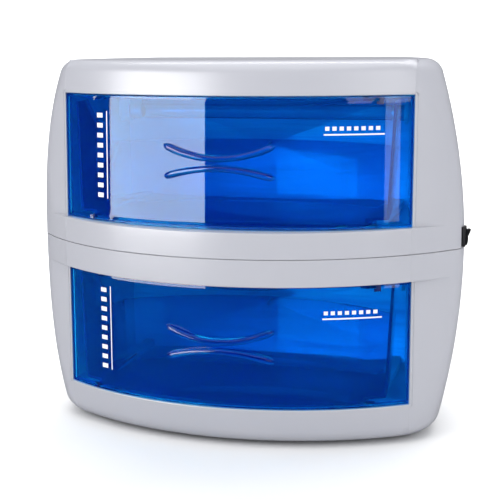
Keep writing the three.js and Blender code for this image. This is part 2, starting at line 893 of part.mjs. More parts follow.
// One grip ridge: a bar with a rounded top that curves away from its neighbour.
function gripRidge(side, middleZ, leanY) {
  const steps = 13;
  const rise = side > 0 ? handle.upperRise : handle.lowerRise;
  const rings = [];
  for (let i = 0; i <= steps; i += 1) {
    const t = mix(-1, 1, i / steps);
    const x = handle.halfLength * t;
    const z = middleZ + side * (handle.spacing / 2 + rise * t * t);
    const slope = (2 * side * rise * t) / handle.halfLength;
    const end = Math.sqrt(Math.max(1 - t ** handle.endPower, handle.endWidth));
    rings.push(ridgeSection(x, z, slope, end, leanY));
  }
  return loft(rings);
}

function ridgeSection(x, z, slope, end, leanY) {
  const y = faceY + leanY + frontRadius - Math.sqrt(frontRadius ** 2 - x ** 2);
  const along = new THREE.Vector2(1, slope).normalize();
  const half = (handle.width / 2) * end;
  // Shares of the half width, and of the height of the ridge: a bar with a rounded top.
  const crown = [
    [-1, 0.45],
    [-0.55, 0.9],
    [0, 1],
    [0.55, 0.9],
    [1, 0.45],
  ].map(([across, up]) => [across, -up * handle.proud * end]);
  const shape = [[-1, handle.root], ...crown, [1, handle.root]];
  return shape.map(([across, deep]) => {
    const w = across * half;
    return new THREE.Vector3(x - along.y * w, y + deep, z + along.x * w);
  });
}

// ---------------------------------------------------------------- lamps

const lampY = linerRearY - lamp.aheadOfRear;
const tubeHalf = openHalf - lamp.endRoom;

function lampZ(c) {
  return c.high - lamp.dropBelowCeiling;
}

function tubeSolid(c) {
  return cylinder(lamp.tubeRadius, [-tubeHalf, lampY, lampZ(c)], [tubeHalf, lampY, lampZ(c)], finer);
}

function capSolid(c, side) {
  const inside = lamp.tubeRadius + lamp.fit;
  const outside = inside + lamp.capWall;
  const open = tubeHalf - lamp.capOverlap;
  const end = open + lamp.capLength;
  const bottom = tubeHalf + lamp.fit;
  const profile = [
    [0, bottom],
    [inside, bottom],
    [inside, open],
    [outside, open],
    [outside, end - lamp.capChamfer],
    [outside - lamp.capChamfer, end],
    [0, end],
  ].map(([r, x]) => new THREE.Vector2(r, x));
  const geometry = new THREE.LatheGeometry(profile, finer);
  geometry.rotateZ(-Math.PI / 2);
  geometry.translate(0, lampY, lampZ(c));
  let cap = toSolid(geometry);
  for (const up of [-0.5, 0.5]) {
    const z = lampZ(c) + up * lamp.pinSpacing;
    cap = cap.add(cylinder(lamp.pinRadius, [end - overrun, lampY, z], [end + lamp.pinLength, lampY, z], 8));
  }
  return side > 0 ? cap : cap.mirror([1, 0, 0]);
}

function holderSolid(c, side) {
  const x0 = tubeHalf + lamp.capLength - lamp.capOverlap + lamp.fit;
  const x1 = x0 + holder.thickness;
  const z0 = lampZ(c) - holder.below;
  const chamfer = holder.chamfer;
  const half = holder.depth / 2;
  const top = c.high - liner.joint;
  const profile = [
    new THREE.Vector2(lampY - half + chamfer, z0),
    new THREE.Vector2(lampY + half - chamfer, z0),
    new THREE.Vector2(lampY + half, z0 + chamfer),
    new THREE.Vector2(lampY + half, top),
    new THREE.Vector2(lampY - half, top),
    new THREE.Vector2(lampY - half, z0 + chamfer),
  ];
  let block = prismAlongX(profile, x0, x1);
  const slotHalf = lamp.pinRadius + holder.pinClearance;
  const z = lampZ(c);
  const reach = lamp.pinSpacing / 2 + slotHalf;
  const slotEnd = x0 + lamp.pinLength + holder.pinClearance;
  const y = [lampY - slotHalf, lampY + slotHalf];
  block = block.subtract(box(x0 - overrun, slotEnd, ...y, z - reach, z + reach));
  return side > 0 ? block : block.mirror([1, 0, 0]);
}

function reflectorSolid(c) {
  const top = c.high - reflector.ceilingGap;
  const w = reflector.wall;
  const half = reflector.topWidth / 2;
  const out = reflector.reach;
  const low = top - reflector.drop;
  const profile = [
    new THREE.Vector2(lampY - half, top),
    new THREE.Vector2(lampY - out, low),
    new THREE.Vector2(lampY - out - w, low),
    new THREE.Vector2(lampY - half - reflector.bendOut, top + w),
    new THREE.Vector2(lampY + half + reflector.bendOut, top + w),
    new THREE.Vector2(lampY + out + w, low),
    new THREE.Vector2(lampY + out, low),
    new THREE.Vector2(lampY + half, top),
  ];
  const reach = tubeHalf - reflector.endGap;
  return prismAlongX(profile, -reach, reach);
}

// ---------------------------------------------------------------- works in the belt

const deckZ = chambers[1].high + liner.wall + deck.lift;

function deckSolid() {
  const half = housing.width / 2 - deck.sideRoom;
  const y0 = tunnelY + deck.frontRoom;
  const y1 = backY - deck.rearRoom;
  const z1 = deckZ + deck.wall;
  const plate = box(-half, half, y0, y1, deckZ, z1);
  const lips = [
    box(-half, half, y0, y0 + deck.wall, deckZ, z1 + deck.lip),
    box(-half, half, y1 - deck.wall, y1, deckZ, z1 + deck.lip),
  ];
  return union([plate, ...lips]);
}

function ballastSolid(side) {
  const z0 = deckZ + deck.wall + liner.joint;
  const x = side * ballast.fromMiddle;
  const half = ballast.length / 2;
  const d = ballast.depth / 2;
  const body = box(x - half, x + half, -d, d, z0, z0 + ballast.height);
  const ear = half + ballast.flange;
  const e = ballast.flangeDepth / 2;
  const ears = box(x - ear, x + ear, -e, e, z0, z0 + ballast.flangeWall);
  return body.add(ears);
}

function terminalSolid() {
  const z0 = deckZ + deck.wall + liner.joint;
  const y = ballast.depth / 2 + terminal.depth;
  const half = terminal.length / 2;
  let block = box(-half, half, y - terminal.depth / 2, y + terminal.depth / 2, z0, z0 + terminal.height);
  for (let i = 0; i < terminal.ways; i += 1) {
    const x = mix(-half, half, (i + 0.5) / terminal.ways);
    const z = z0 + terminal.height;
    const way = cylinder(terminal.wayRadius, [x, y, z - terminal.wayDepth], [x, y, z + overrun]);
    block = block.subtract(way);
  }
  return block;
}

// ---------------------------------------------------------------- mains inlet and switch

const inletX = inlet.fromMiddle;
const inletZ = baseZ + inlet.fromBase;

function inletHole() {
  const w = inlet.bodyWidth / 2 + inlet.fit;
  const h = inlet.bodyHeight / 2 + inlet.fit;
  return box(inletX - w, inletX + w, backY - rearCut, far, inletZ - h, inletZ + h);
}

function inletSolid() {
  const faceBack = backY - cover.sunk + inlet.fit;
  const shift = (points) => points.map((p) => new THREE.Vector2(p.x + inletX, p.y + inletZ));
  const flange = prismAlongY(
    shift(roundedRectangle(inlet.width / 2, inlet.height / 2, inlet.flangeCorner)),
    faceBack,
    faceBack + inlet.flange,
  );
  const body = prismAlongY(
    shift(roundedRectangle(inlet.bodyWidth / 2, inlet.bodyHeight / 2, inlet.bodyCorner)),
    faceBack - inlet.bodyDepth,
    faceBack + inlet.flange / 2,
  );
  const w = inlet.mouthWidth / 2;
  const h = inlet.mouthHeight / 2;
  const k = inlet.corner;
  const mouthShape = [
    [-w, -h],
    [w, -h],
    [w, h - k],
    [w - k, h],
    [-w + k, h],
    [-w, h - k],
  ].map(([x, z]) => new THREE.Vector2(x, z));
  const mouth = prismAlongY(shift(mouthShape), faceBack + inlet.flange - inlet.mouthDepth, far);
  return flange.add(body).subtract(mouth);
}

function inletPin(x, z) {
  const y0 = backY - cover.sunk + inlet.flange - inlet.mouthDepth + 2 * inlet.fit;
  const halfX = inlet.pinThickness / 2;
  const halfZ = inlet.pinWidth / 2;
  return box(
    inletX + x - halfX,
    inletX + x + halfX,
    y0,
    y0 + inlet.pinLength,
    inletZ + z - halfZ,
    inletZ + z + halfZ,
  );
}

function switchBody() {
  const thickness = rocker.bezelThickness;
  const back = bezelX + rocker.fit;
  const flange = centredBox(back, rocker.bezelWidth, rocker.bezelHeight, thickness);
  const length = rocker.bodyDepth + thickness / 2;
  const body = centredBox(back - rocker.bodyDepth, rocker.bodyWidth, rocker.bodyHeight, length);
  const cavity = centredBox(
    bezelX + thickness - rocker.cavityDepth,
    rocker.bodyWidth - 2 * rocker.cavityRim,
    rocker.bodyHeight - 2 * rocker.cavityRim + 2 * rocker.cavityEndRoom,
    2 * rocker.cavityDepth,
  );
  return flange.add(body).subtract(cavity);
}

// The rocker about its own pivot, with the upper half out as it rests.
function rockerGeometry() {
  const h = rocker.halfHeight;
  const profile = [
    [-rocker.tailIn, -rocker.tailHalf],
    [rocker.rimOut, -h],
    [rocker.faceOut, -h],
    [rocker.faceOut, -rocker.landFrom],
    [rocker.waistOut, 0],
    [rocker.faceOut, rocker.landFrom],
    [rocker.faceOut, h],
    [rocker.rimOut, h],
    [-rocker.tailIn, rocker.tailHalf],
  ].map(([x, z]) => new THREE.Vector2(x, z));
  const half = rocker.bodyWidth / 2 - rocker.cavityRim - rocker.sideGap;
  return prismAlongY(profile, -half, half);
}

// ---------------------------------------------------------------- drawer interlocks

function interlockSolid(c) {
  const y0 = linerRearY + liner.wall + liner.joint;
  const w = interlock.width / 2;
  const h = interlock.height / 2;
  const z = rodZ(c);
  const block = box(-w, w, y0, y0 + interlock.depth, z - h, z + h);
  const r = interlock.rodRadius + interlock.rodClearance;
  const start = y0 - overrun;
  return block.subtract(cylinder(r, [0, start, z], [0, y0 + interlock.rodTail + overrun, z]));
}

function plungerSolid(c) {
  const tip = binTipY(c) + interlock.restGap;
  const tail = linerRearY + liner.wall + interlock.rodTail;
  return cylinder(interlock.rodRadius, [0, tip, rodZ(c)], [0, tail, rodZ(c)]);
}

// The outside of the bin's rear wall at the height of the plunger.
function binTipY(c) {
  const rise = rodZ(c) - c.low - bin.floorLift;
  return binRearY - bin.draft * (1 - rise / bin.frontHeight);
}

// ---------------------------------------------------------------- assembly

const cabinet = new THREE.Group();

function place(parent, name, solid, finish) {
  const mesh = new THREE.Mesh(toGeometry(solid), new THREE.MeshStandardMaterial(finishes[finish]));
  mesh.name = name;
  parent.add(mesh);
  return mesh;
}

function buildCasings() {
  const shell = wholeShell();
  place(cabinet, 'upper_housing', upperHousing(shell), 'housing');
  place(cabinet, 'lower_housing', lowerHousing(shell), 'housing');
  place(cabinet, 'rear_cover', rearCover(), 'housing');
  const seatY = backY - cover.sunk + screw.clearance;
  for (const [name, x, z] of coverScrewPlaces) {
    place(cabinet, `cover_screw_${name}`, screwSolid(x, seatY, z, [0, 1, 0]), 'steel');
  }
  for (const [name, x, y] of footPlaces) {
    place(cabinet, `foot_${name}`, footSolid(x, y), 'rubber');
    const z = foot.recessDepth - screw.clearance;
    place(cabinet, `foot_screw_${name}`, screwSolid(x, y, z, [0, 0, -1]), 'steel');
  }
}

function buildChamber(c) {
  place(cabinet, `${c.name}_liner`, linerSolid(c), 'steel');
  place(cabinet, `${c.name}_reflector`, reflectorSolid(c), 'mirror');
  place(cabinet, `${c.name}_lamp_tube`, tubeSolid(c), 'glass');
  for (const [end, side] of [
    ['left', -1],
    ['right', 1],
  ]) {
    place(cabinet, `${c.name}_lamp_cap_${end}`, capSolid(c, side), 'aluminium');
    place(cabinet, `${c.name}_lampholder_${end}`, holderSolid(c, side), 'ivory');
    place(cabinet, `${c.name}_runner_${end}`, runnerSolid(c, side), 'ivory');
  }
  place(cabinet, `${c.name}_interlock_switch`, interlockSolid(c), 'black');
  place(cabinet, `${c.name}_interlock_plunger`, plungerSolid(c), 'ivory');
}

function buildDrawer(c) {
  const drawer = new THREE.Group();
  place(drawer, `${c.name}_drawer_front`, frontSolid(c), 'blue');
  place(drawer, `${c.name}_drawer_bin`, binSolid(c), 'blue');
  cabinet.add(drawer);
}

function buildWorks() {
  place(cabinet, 'middle_deck', deckSolid(), 'steel');
  place(cabinet, 'lower_lamp_ballast', ballastSolid(-1), 'grey');
  place(cabinet, 'upper_lamp_ballast', ballastSolid(1), 'grey');
  place(cabinet, 'terminal_block', terminalSolid(), 'ivory');
  place(cabinet, 'power_inlet', inletSolid(), 'black');
  place(cabinet, 'inlet_pin_left', inletPin(-inlet.pinSpacing, -inlet.pinRaise), 'brass');
  place(cabinet, 'inlet_pin_right', inletPin(inlet.pinSpacing, -inlet.pinRaise), 'brass');
  place(cabinet, 'inlet_pin_earth', inletPin(0, inlet.pinRaise), 'brass');
  place(cabinet, 'switch_body', switchBody(), 'black');
  const paddle = place(cabinet, 'switch_rocker', rockerGeometry(), 'black');
  paddle.rotation.y = THREE.MathUtils.degToRad(rocker.tilt);
  paddle.position.set(pivotX, switchY, switchZ);
}

buildCasings();
chambers.forEach(buildChamber);
chambers.forEach(buildDrawer);
buildWorks();

export default cabinet;
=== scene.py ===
"""Looks of a two-drawer ultraviolet sterilizer cabinet for salon tools.

X runs to the right of the front, the front faces -Y, Z is up, and everything is in metres.
"""

import math

import bmesh
import bpy
import numpy as np
from mathutils import Matrix, Vector


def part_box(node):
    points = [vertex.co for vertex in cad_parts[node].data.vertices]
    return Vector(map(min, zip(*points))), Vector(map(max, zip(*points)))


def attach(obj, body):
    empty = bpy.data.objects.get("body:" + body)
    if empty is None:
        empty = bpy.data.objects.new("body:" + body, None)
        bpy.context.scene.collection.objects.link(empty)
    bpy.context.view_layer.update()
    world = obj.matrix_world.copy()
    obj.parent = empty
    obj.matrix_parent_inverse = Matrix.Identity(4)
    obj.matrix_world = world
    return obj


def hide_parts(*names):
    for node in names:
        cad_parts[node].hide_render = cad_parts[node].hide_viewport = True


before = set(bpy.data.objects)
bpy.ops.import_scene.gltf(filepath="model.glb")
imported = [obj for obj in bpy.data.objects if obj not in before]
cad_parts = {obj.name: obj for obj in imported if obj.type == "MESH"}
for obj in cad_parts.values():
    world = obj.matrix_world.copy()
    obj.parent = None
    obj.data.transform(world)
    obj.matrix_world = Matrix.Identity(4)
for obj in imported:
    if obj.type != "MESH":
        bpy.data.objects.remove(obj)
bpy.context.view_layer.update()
MM = 0.001
MERGE = 2e-6  # points closer than this are one
SLIVER = 1e-6
CAD_MERGE = 1e-5

# ---- places from the frame

UPPER_LOW, UPPER_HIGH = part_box("upper_housing")
LOWER_LOW, LOWER_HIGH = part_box("lower_housing")
PANEL_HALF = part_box("upper_drawer_front")[1].x
COVER_LOW, COVER_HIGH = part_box("rear_cover")
BASE = LOWER_LOW.z
TOP = UPPER_HIGH.z
SEAM = (LOWER_HIGH.z + UPPER_LOW.z) / 2
SEAM_GAP = UPPER_LOW.z - LOWER_HIGH.z
BELT_Y = UPPER_LOW.y
BACK_Y = UPPER_HIGH.y
PANEL_GAP = 0.8 * MM
OPEN_HALF = PANEL_HALF + PANEL_GAP

# ---- shape of the housing

HOUSING_HALF = 218 * MM
SIDE_RADIUS = 330 * MM
REAR_CORNER = 30 * MM
WALL = 3 * MM
SIDE_POWER = 2.0
FACE_POWER = 2.1
# Bow of the front over a drawer front's chord, corner radius, inset of the sides and of the face.
AT_SEAM = {"bow": 62.8 * MM, "corner": 24 * MM, "side": 0.0, "recess": 0.0}
AT_TOP = {"bow": 50 * MM, "corner": 62 * MM, "side": 27.5 * MM, "recess": 26.5 * MM}
AT_BASE = {"bow": 51 * MM, "corner": 58 * MM, "side": 24.5 * MM, "recess": 20 * MM}
TOP_ROUND = 11.5 * MM
BASE_ROUND = 14 * MM
SEAM_ROUND = 0.5 * MM
LEDGE_ROUND = 1.1 * MM

PANEL_LEDGE = 13.5 * MM
PANEL_BOW = 54.2 * MM
PANEL_WALL = 3 * MM
PANEL_DEPTH = 10 * MM
RIM_WALL = 2 * MM
FACE_Y = BELT_Y + PANEL_LEDGE
PANEL_RADIUS = (OPEN_HALF**2 + PANEL_BOW**2) / (2 * PANEL_BOW)
TUNNEL_PAST_BOW = 16 * MM
WIDEST_PAST_TUNNEL = 10 * MM
TUNNEL_Y = FACE_Y + PANEL_BOW + TUNNEL_PAST_BOW
WIDEST_Y = TUNNEL_Y + WIDEST_PAST_TUNNEL

COVER_SEAT = 9 * MM
COVER_GAP = 0.5 * MM
RECESS_DEPTH = BACK_Y - COVER_LOW.y + COVER_GAP


def chamber(name, lean):
    low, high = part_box(f"{name}_drawer_front")
    return {"name": name, "low": low.z - PANEL_GAP, "high": high.z + PANEL_GAP, "lean": lean}


CHAMBERS = [chamber("upper", 0.035), chamber("lower", 0.011)]


def mix(a, b, t):
    return a + (b - a) * t


def radius_of(half_chord, bow):
    return (half_chord**2 + bow**2) / (2 * bow)


def panel_y(x, z, room, set_back=0.0):
    """Depth of the drawer front's face at x and z, or of the surface set back behind it."""
    radius = PANEL_RADIUS - set_back
    inside = np.maximum(radius**2 - np.square(x), 0)
    return FACE_Y + PANEL_RADIUS - np.sqrt(inside) + room["lean"] * (z - room["low"])


def arc(cx, cy, radius, start, end, steps):
    a = np.linspace(start, end, steps + 1)
    return np.stack([cx + radius * np.cos(a), cy + radius * np.sin(a)], axis=1)


def meet(p, a, q, b):
    """The point at distance a from p and b from q that lies furthest to the front right."""
    gap = q - p
    distance = np.linalg.norm(gap)
    along = (a * a - b * b + distance * distance) / (2 * distance)
    aside = math.sqrt(max(a * a - along * along, 0))
    unit = gap / distance
    normal = np.array([-unit[1], unit[0]])
    choices = [p + unit * along + normal * aside * side for side in (-1, 1)]
    return max(choices, key=lambda c: c[0] - c[1])


def level_at(z):
    above = z > SEAM
    end = AT_TOP if above else AT_BASE
    t = min(abs(z - SEAM) / (TOP - SEAM if above else SEAM - BASE), 1)
    side, face = t**SIDE_POWER, t**FACE_POWER
    half = HOUSING_HALF - end["side"] * side
    front_y = BELT_Y + end["recess"] * face
    radius = radius_of(OPEN_HALF, mix(AT_SEAM["bow"], end["bow"], face))
    corner = mix(AT_SEAM["corner"], end["corner"], side)
    return half, front_y, radius, corner


def outline(z, inset):
    """The right half of the housing seen from above, from the middle of the front to the back."""
    half, front_y, front_radius, corner = level_at(z)
    radius = front_radius - inset
    side_radius = SIDE_RADIUS - inset
    corner = max(corner - inset, 1 * MM)
    rear = max(REAR_CORNER - inset, 1 * MM)
    front_centre = np.array([0.0, front_y + front_radius])
    side_centre = np.array([half - SIDE_RADIUS, WIDEST_Y])
    centre = meet(front_centre, radius - corner, side_centre, side_radius - corner)
    rear_y = BACK_Y - inset - rear
    rear_x = side_centre[0] + math.sqrt((side_radius - rear) ** 2 - (rear_y - WIDEST_Y) ** 2)
    front_end = math.atan2(centre[1] - front_centre[1], centre[0])
    side_start = math.atan2(*(centre - side_centre)[::-1])
    side_end = math.atan2(rear_y - WIDEST_Y, rear_x - side_centre[0])
    return np.vstack(
        [
            arc(*front_centre, radius, -math.pi / 2, front_end, 300),
            arc(*centre, corner, front_end, side_start, 120)[1:],
            arc(*side_centre, side_radius, side_start, side_end, 160)[1:],
            arc(rear_x, rear_y, rear, side_end, math.pi / 2, 60)[1:],
        ]
    )


def crease_x(z, room):
    """Where the scooped front meets the barrel, at a height in or beside a chamber."""
    z = min(max(z, room["low"]), room["high"])
    line = outline(z, 0)
    line = line[: int(np.argmax(line[:, 0])) + 1]
    ahead = panel_y(line[:, 0], z, room) > line[:, 1]
    x = line[np.nonzero(ahead)[0][-1], 0] if ahead.any() else 0
    return max(x, OPEN_HALF + 3 * LEDGE_ROUND)


# ---- mesh helpers


def mesh_piece(name, vertices, faces, material, smooth=38, closed=True):
    """A mesh object with doubles merged, faces outward and edges over the angle kept sharp."""
    mesh = bpy.data.meshes.new(name)
    mesh.from_pydata([tuple(v) for v in vertices], [], [tuple(f) for f in faces])
    return finish_mesh(name, mesh, material, smooth, closed)


def finish_mesh(name, mesh, material, smooth=38, closed=True):
    bm = bmesh.new()
    bm.from_mesh(mesh)
    bmesh.ops.remove_doubles(bm, verts=bm.verts, dist=MERGE)
    bmesh.ops.dissolve_degenerate(bm, edges=bm.edges, dist=SLIVER)
    loose = [v for v in bm.verts if not v.link_faces]
    bmesh.ops.delete(bm, geom=loose, context="VERTS")
    if closed:
        bmesh.ops.recalc_face_normals(bm, faces=bm.faces)
    bm.to_mesh(mesh)
    bm.free()
    piece = bpy.data.objects.new(name, mesh)
    bpy.context.scene.collection.objects.link(piece)
    mesh.materials.clear()
    mesh.materials.append(material)
    shade(piece, smooth)
    return piece


def shade(piece, angle):
    piece.data.polygons.foreach_set("use_smooth", [True] * len(piece.data.polygons))
    piece.data.set_sharp_from_angle(angle=math.radians(angle))


def apply_modifiers(piece):
    """Bakes the piece's modifiers into its mesh."""
    graph = bpy.context.evaluated_depsgraph_get()
    made = bpy.data.meshes.new_from_object(piece.evaluated_get(graph))
    piece.modifiers.clear()
    piece.data = made


def boolean(piece, other, operation):
    modifier = piece.modifiers.new(operation.lower(), "BOOLEAN")
    modifier.operation = operation
    modifier.solver = "MANIFOLD"
    modifier.object = other
    apply_modifiers(piece)
    bpy.data.objects.remove(other)


def rounded(piece, width, segments=3, angle=30):
    """Rounds the piece's sharp edges."""
    modifier = piece.modifiers.new("edges", "BEVEL")
    modifier.width = width
    modifier.segments = segments
    modifier.limit_method = "ANGLE"
    modifier.angle_limit = math.radians(angle)
    apply_modifiers(piece)
    shade(piece, 40)


def quad(k, i, count):
    """The face from point i of ring k to the next point and the next ring."""
    j = (i + 1) % count
    low, high = k * count, (k + 1) * count
    return (low + i, low + j, high + j, high + i)


def loft(rings):
    """Vertices and faces of a closed solid through rings of equal length."""
    count = len(rings[0])
    vertices = [p for ring in rings for p in ring]
    faces = []
    for k in range(len(rings) - 1):
        for i in range(count):
            faces.append(quad(k, i, count))
    faces.append(tuple(range(count))[::-1])
    faces.append(tuple(range((len(rings) - 1) * count, len(rings) * count)))
    return vertices, faces


def block(name, low, high, material):
    """A box between two corners, for cutting and for small solid shapes."""
    xs, ys, zs = zip(low, high)
    ring = [(xs[0], ys[0]), (xs[1], ys[0]), (xs[1], ys[1]), (xs[0], ys[1])]
    return mesh_piece(name, *loft([[(*p, z) for p in ring] for z in zs]), material)


def lathe(name, profile, steps, place, axis, material):
    """A turned solid: radius and distance along the axis, from one pole to the other."""
    turn = Vector(axis).to_track_quat("Z", "Y").to_matrix()
    rings = []
    for radius, along in profile:
        angles = np.linspace(0, 2 * math.pi, steps, endpoint=False)
        ring = [Vector((radius * math.cos(a), radius * math.sin(a), along)) for a in angles]
        rings.append([Vector(place) + turn @ p for p in ring])
    return mesh_piece(name, *loft(rings), material)


def refined(node, name, material, bevel=0.0, smooth=35, segments=3):
    """A clean copy of a CAD node: merged, without its flat triangles, and with rounded edges."""
    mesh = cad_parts[node].data.copy()
    mesh.materials.clear()
    bm = bmesh.new()
    bm.from_mesh(mesh)
    bmesh.ops.remove_doubles(bm, verts=bm.verts, dist=CAD_MERGE)
    bmesh.ops.dissolve_limit(bm, angle_limit=math.radians(1), verts=bm.verts, edges=bm.edges)
    bm.to_mesh(mesh)
    bm.free()
    piece = bpy.data.objects.new(name, mesh)
    bpy.context.scene.collection.objects.link(piece)
    mesh.materials.append(material)
    shade(piece, smooth)
    if bevel:
        rounded(piece, bevel, segments, smooth)
    return piece


def settle(piece, body, slot, *nodes):
    """The piece rides on a body and stands for CAD nodes; its slot is not used."""
    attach(piece, body)
    if nodes:
        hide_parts(*nodes)


# ---- material helpers


class Finish:
    """A material's node tree, with the few nodes that every finish here is made from."""

    def __init__(self, name):
        self.material = bpy.data.materials.new(name)
        self.material.use_nodes = True
        self.tree = self.material.node_tree
        self.shader = self.tree.nodes["Principled BSDF"]
        self.output = self.tree.nodes["Material Output"]
        self.place = self.tree.nodes.new("ShaderNodeTexCoord")

    def set(self, **sockets):
        for name, value in sockets.items():
            self.shader.inputs[name.replace("_", " ")].default_value = value
        return self

    def link(self, source, target):
        self.tree.links.new(source, target)

    def noise(self, scale, detail=3.0, stretch=(1, 1, 1), roughness=0.5):
        mapping = self.tree.nodes.new("ShaderNodeMapping")
        mapping.inputs["Scale"].default_value = stretch
        self.link(self.place.outputs["Object"], mapping.inputs["Vector"])
        node = self.tree.nodes.new("ShaderNodeTexNoise")
        node.inputs["Scale"].default_value = scale
        node.inputs["Detail"].default_value = detail
        node.inputs["Roughness"].default_value = roughness
        self.link(mapping.outputs["Vector"], node.inputs["Vector"])
        return node.outputs["Fac"]

    def colours(self, factor, dark, light):
        ramp = self.tree.nodes.new("ShaderNodeValToRGB")
        for stop, position, colour in zip(ramp.color_ramp.elements, (0.35, 0.65), (dark, light)):
            stop.position = position
            stop.color = (*colour, 1)
        self.link(factor, ramp.inputs["Fac"])
        self.link(ramp.outputs["Color"], self.shader.inputs["Base Color"])

    def roughness(self, factor, low, high):
        spread = self.tree.nodes.new("ShaderNodeMapRange")
        spread.inputs["From Min"].default_value = 0.3
        spread.inputs["From Max"].default_value = 0.7
        spread.inputs["To Min"].default_value = low
        spread.inputs["To Max"].default_value = high
        self.link(factor, spread.inputs["Value"])
        self.link(spread.outputs["Result"], self.shader.inputs["Roughness"])

    def bump(self, factor, strength, distance):
        node = self.tree.nodes.new("ShaderNodeBump")
        node.inputs["Strength"].default_value = strength
        node.inputs["Distance"].default_value = distance
        self.link(factor, node.inputs["Height"])
        self.link(node.outputs["Normal"], self.shader.inputs["Normal"])


def housing_plastic():
    """Glossy light grey ABS: faint cloudy tone, faint orange peel from the polished mould."""
    finish = Finish("housing_plastic").set(IOR=1.5)
    finish.colours(finish.noise(6, 2), (0.468, 0.471, 0.514), (0.474, 0.477, 0.520))
    finish.roughness(finish.noise(30, 3), 0.285, 0.295)
    finish.bump(finish.noise(420, 2), 0.04, 0.0003)
    return finish.material


def clear_blue(name, tint, shade_tint, roughness, haze):
    """Clear blue plastic, a little hazy, that lets lamp light through."""
    finish = Finish(name).set(IOR=1.49, Transmission_Weight=1.0)
    dark = tuple(0.93 * c for c in tint)
    finish.colours(finish.noise(14, 3), dark, tint)
    finish.roughness(finish.noise(60, 4), roughness, roughness * 1.6)
    finish.bump(finish.noise(30, 2), 0.03, 0.0006)
    cloud = finish.tree.nodes.new("ShaderNodeBsdfDiffuse")
    cloud.inputs["Color"].default_value = (0.001, 0.04, 0.80, 1)
    hazy = finish.tree.nodes.new("ShaderNodeMixShader")
    hazy.inputs["Fac"].default_value = haze
    finish.link(finish.shader.outputs["BSDF"], hazy.inputs[1])
    finish.link(cloud.outputs["BSDF"], hazy.inputs[2])
    let_lamps_through(finish, hazy.outputs["Shader"], (*shade_tint, 1))
    return finish.material


def let_lamps_through(finish, surface, tint):
    """Shows the surface, but is only tinted and clear to rays that look for lamps."""
    clear = finish.tree.nodes.new("ShaderNodeBsdfTransparent")
    clear.inputs["Color"].default_value = tint
    path = finish.tree.nodes.new("ShaderNodeLightPath")
    choose = finish.tree.nodes.new("ShaderNodeMixShader")
    finish.link(path.outputs["Is Shadow Ray"], choose.inputs["Fac"])
    finish.link(surface, choose.inputs[1])
    finish.link(clear.outputs["BSDF"], choose.inputs[2])
    finish.link(choose.outputs["Shader"], finish.output.inputs["Surface"])


def brushed_sheet():
    """Stainless sheet with a fine grain along X."""
    finish = Finish("brushed_stainless").set(Metallic=0.85, Anisotropic=0.3)
    grain = finish.noise(220, 5, (0.04, 1, 1), 0.65)
    finish.colours(grain, (0.56, 0.57, 0.59), (0.74, 0.75, 0.77))
    finish.roughness(grain, 0.34, 0.46)
    finish.bump(grain, 0.1, 0.0002)
    return finish.material


def metal(name, dark, light, roughness, stretch=(1, 1, 1), scale=160):
    finish = Finish(name).set(Metallic=1.0)
    grain = finish.noise(scale, 4, stretch)
    finish.colours(grain, dark, light)
    finish.roughness(grain, roughness, roughness * 1.7)
    finish.bump(finish.noise(scale * 3, 3, stretch), 0.06, 0.0002)
    return finish.material


def moulded(name, dark, light, roughness, scale=350, depth=0.12):
    """Opaque moulded plastic or rubber with a fine spark-eroded grain."""
    finish = Finish(name)
    finish.colours(finish.noise(25, 4), dark, light)
    finish.roughness(finish.noise(90, 4), roughness, roughness * 1.35)
    finish.bump(finish.noise(scale, 2), depth, 0.0004)
    return finish.material


def lamp_glass():
    """Clear quartz with a faint draw line along the tube."""
    finish = Finish("quartz_glass").set(IOR=1.46, Transmission_Weight=1.0)
    lines = finish.noise(130, 3, (0.03, 1, 1))
    finish.colours(lines, (0.93, 0.95, 0.97), (0.98, 0.99, 1.0))
    finish.roughness(lines, 0.02, 0.05)
    finish.bump(lines, 0.05, 0.0002)
    let_lamps_through(finish, finish.shader.outputs["BSDF"], (1, 1, 1, 1))
    return finish.material


def pale_floor():
    finish = Finish("pale_floor").set(IOR=1.3)
    finish.colours(finish.noise(3, 3), (0.88, 0.88, 0.88), (0.91, 0.91, 0.91))
    finish.roughness(finish.noise(8, 3), 0.75, 0.9)
    return finish.material


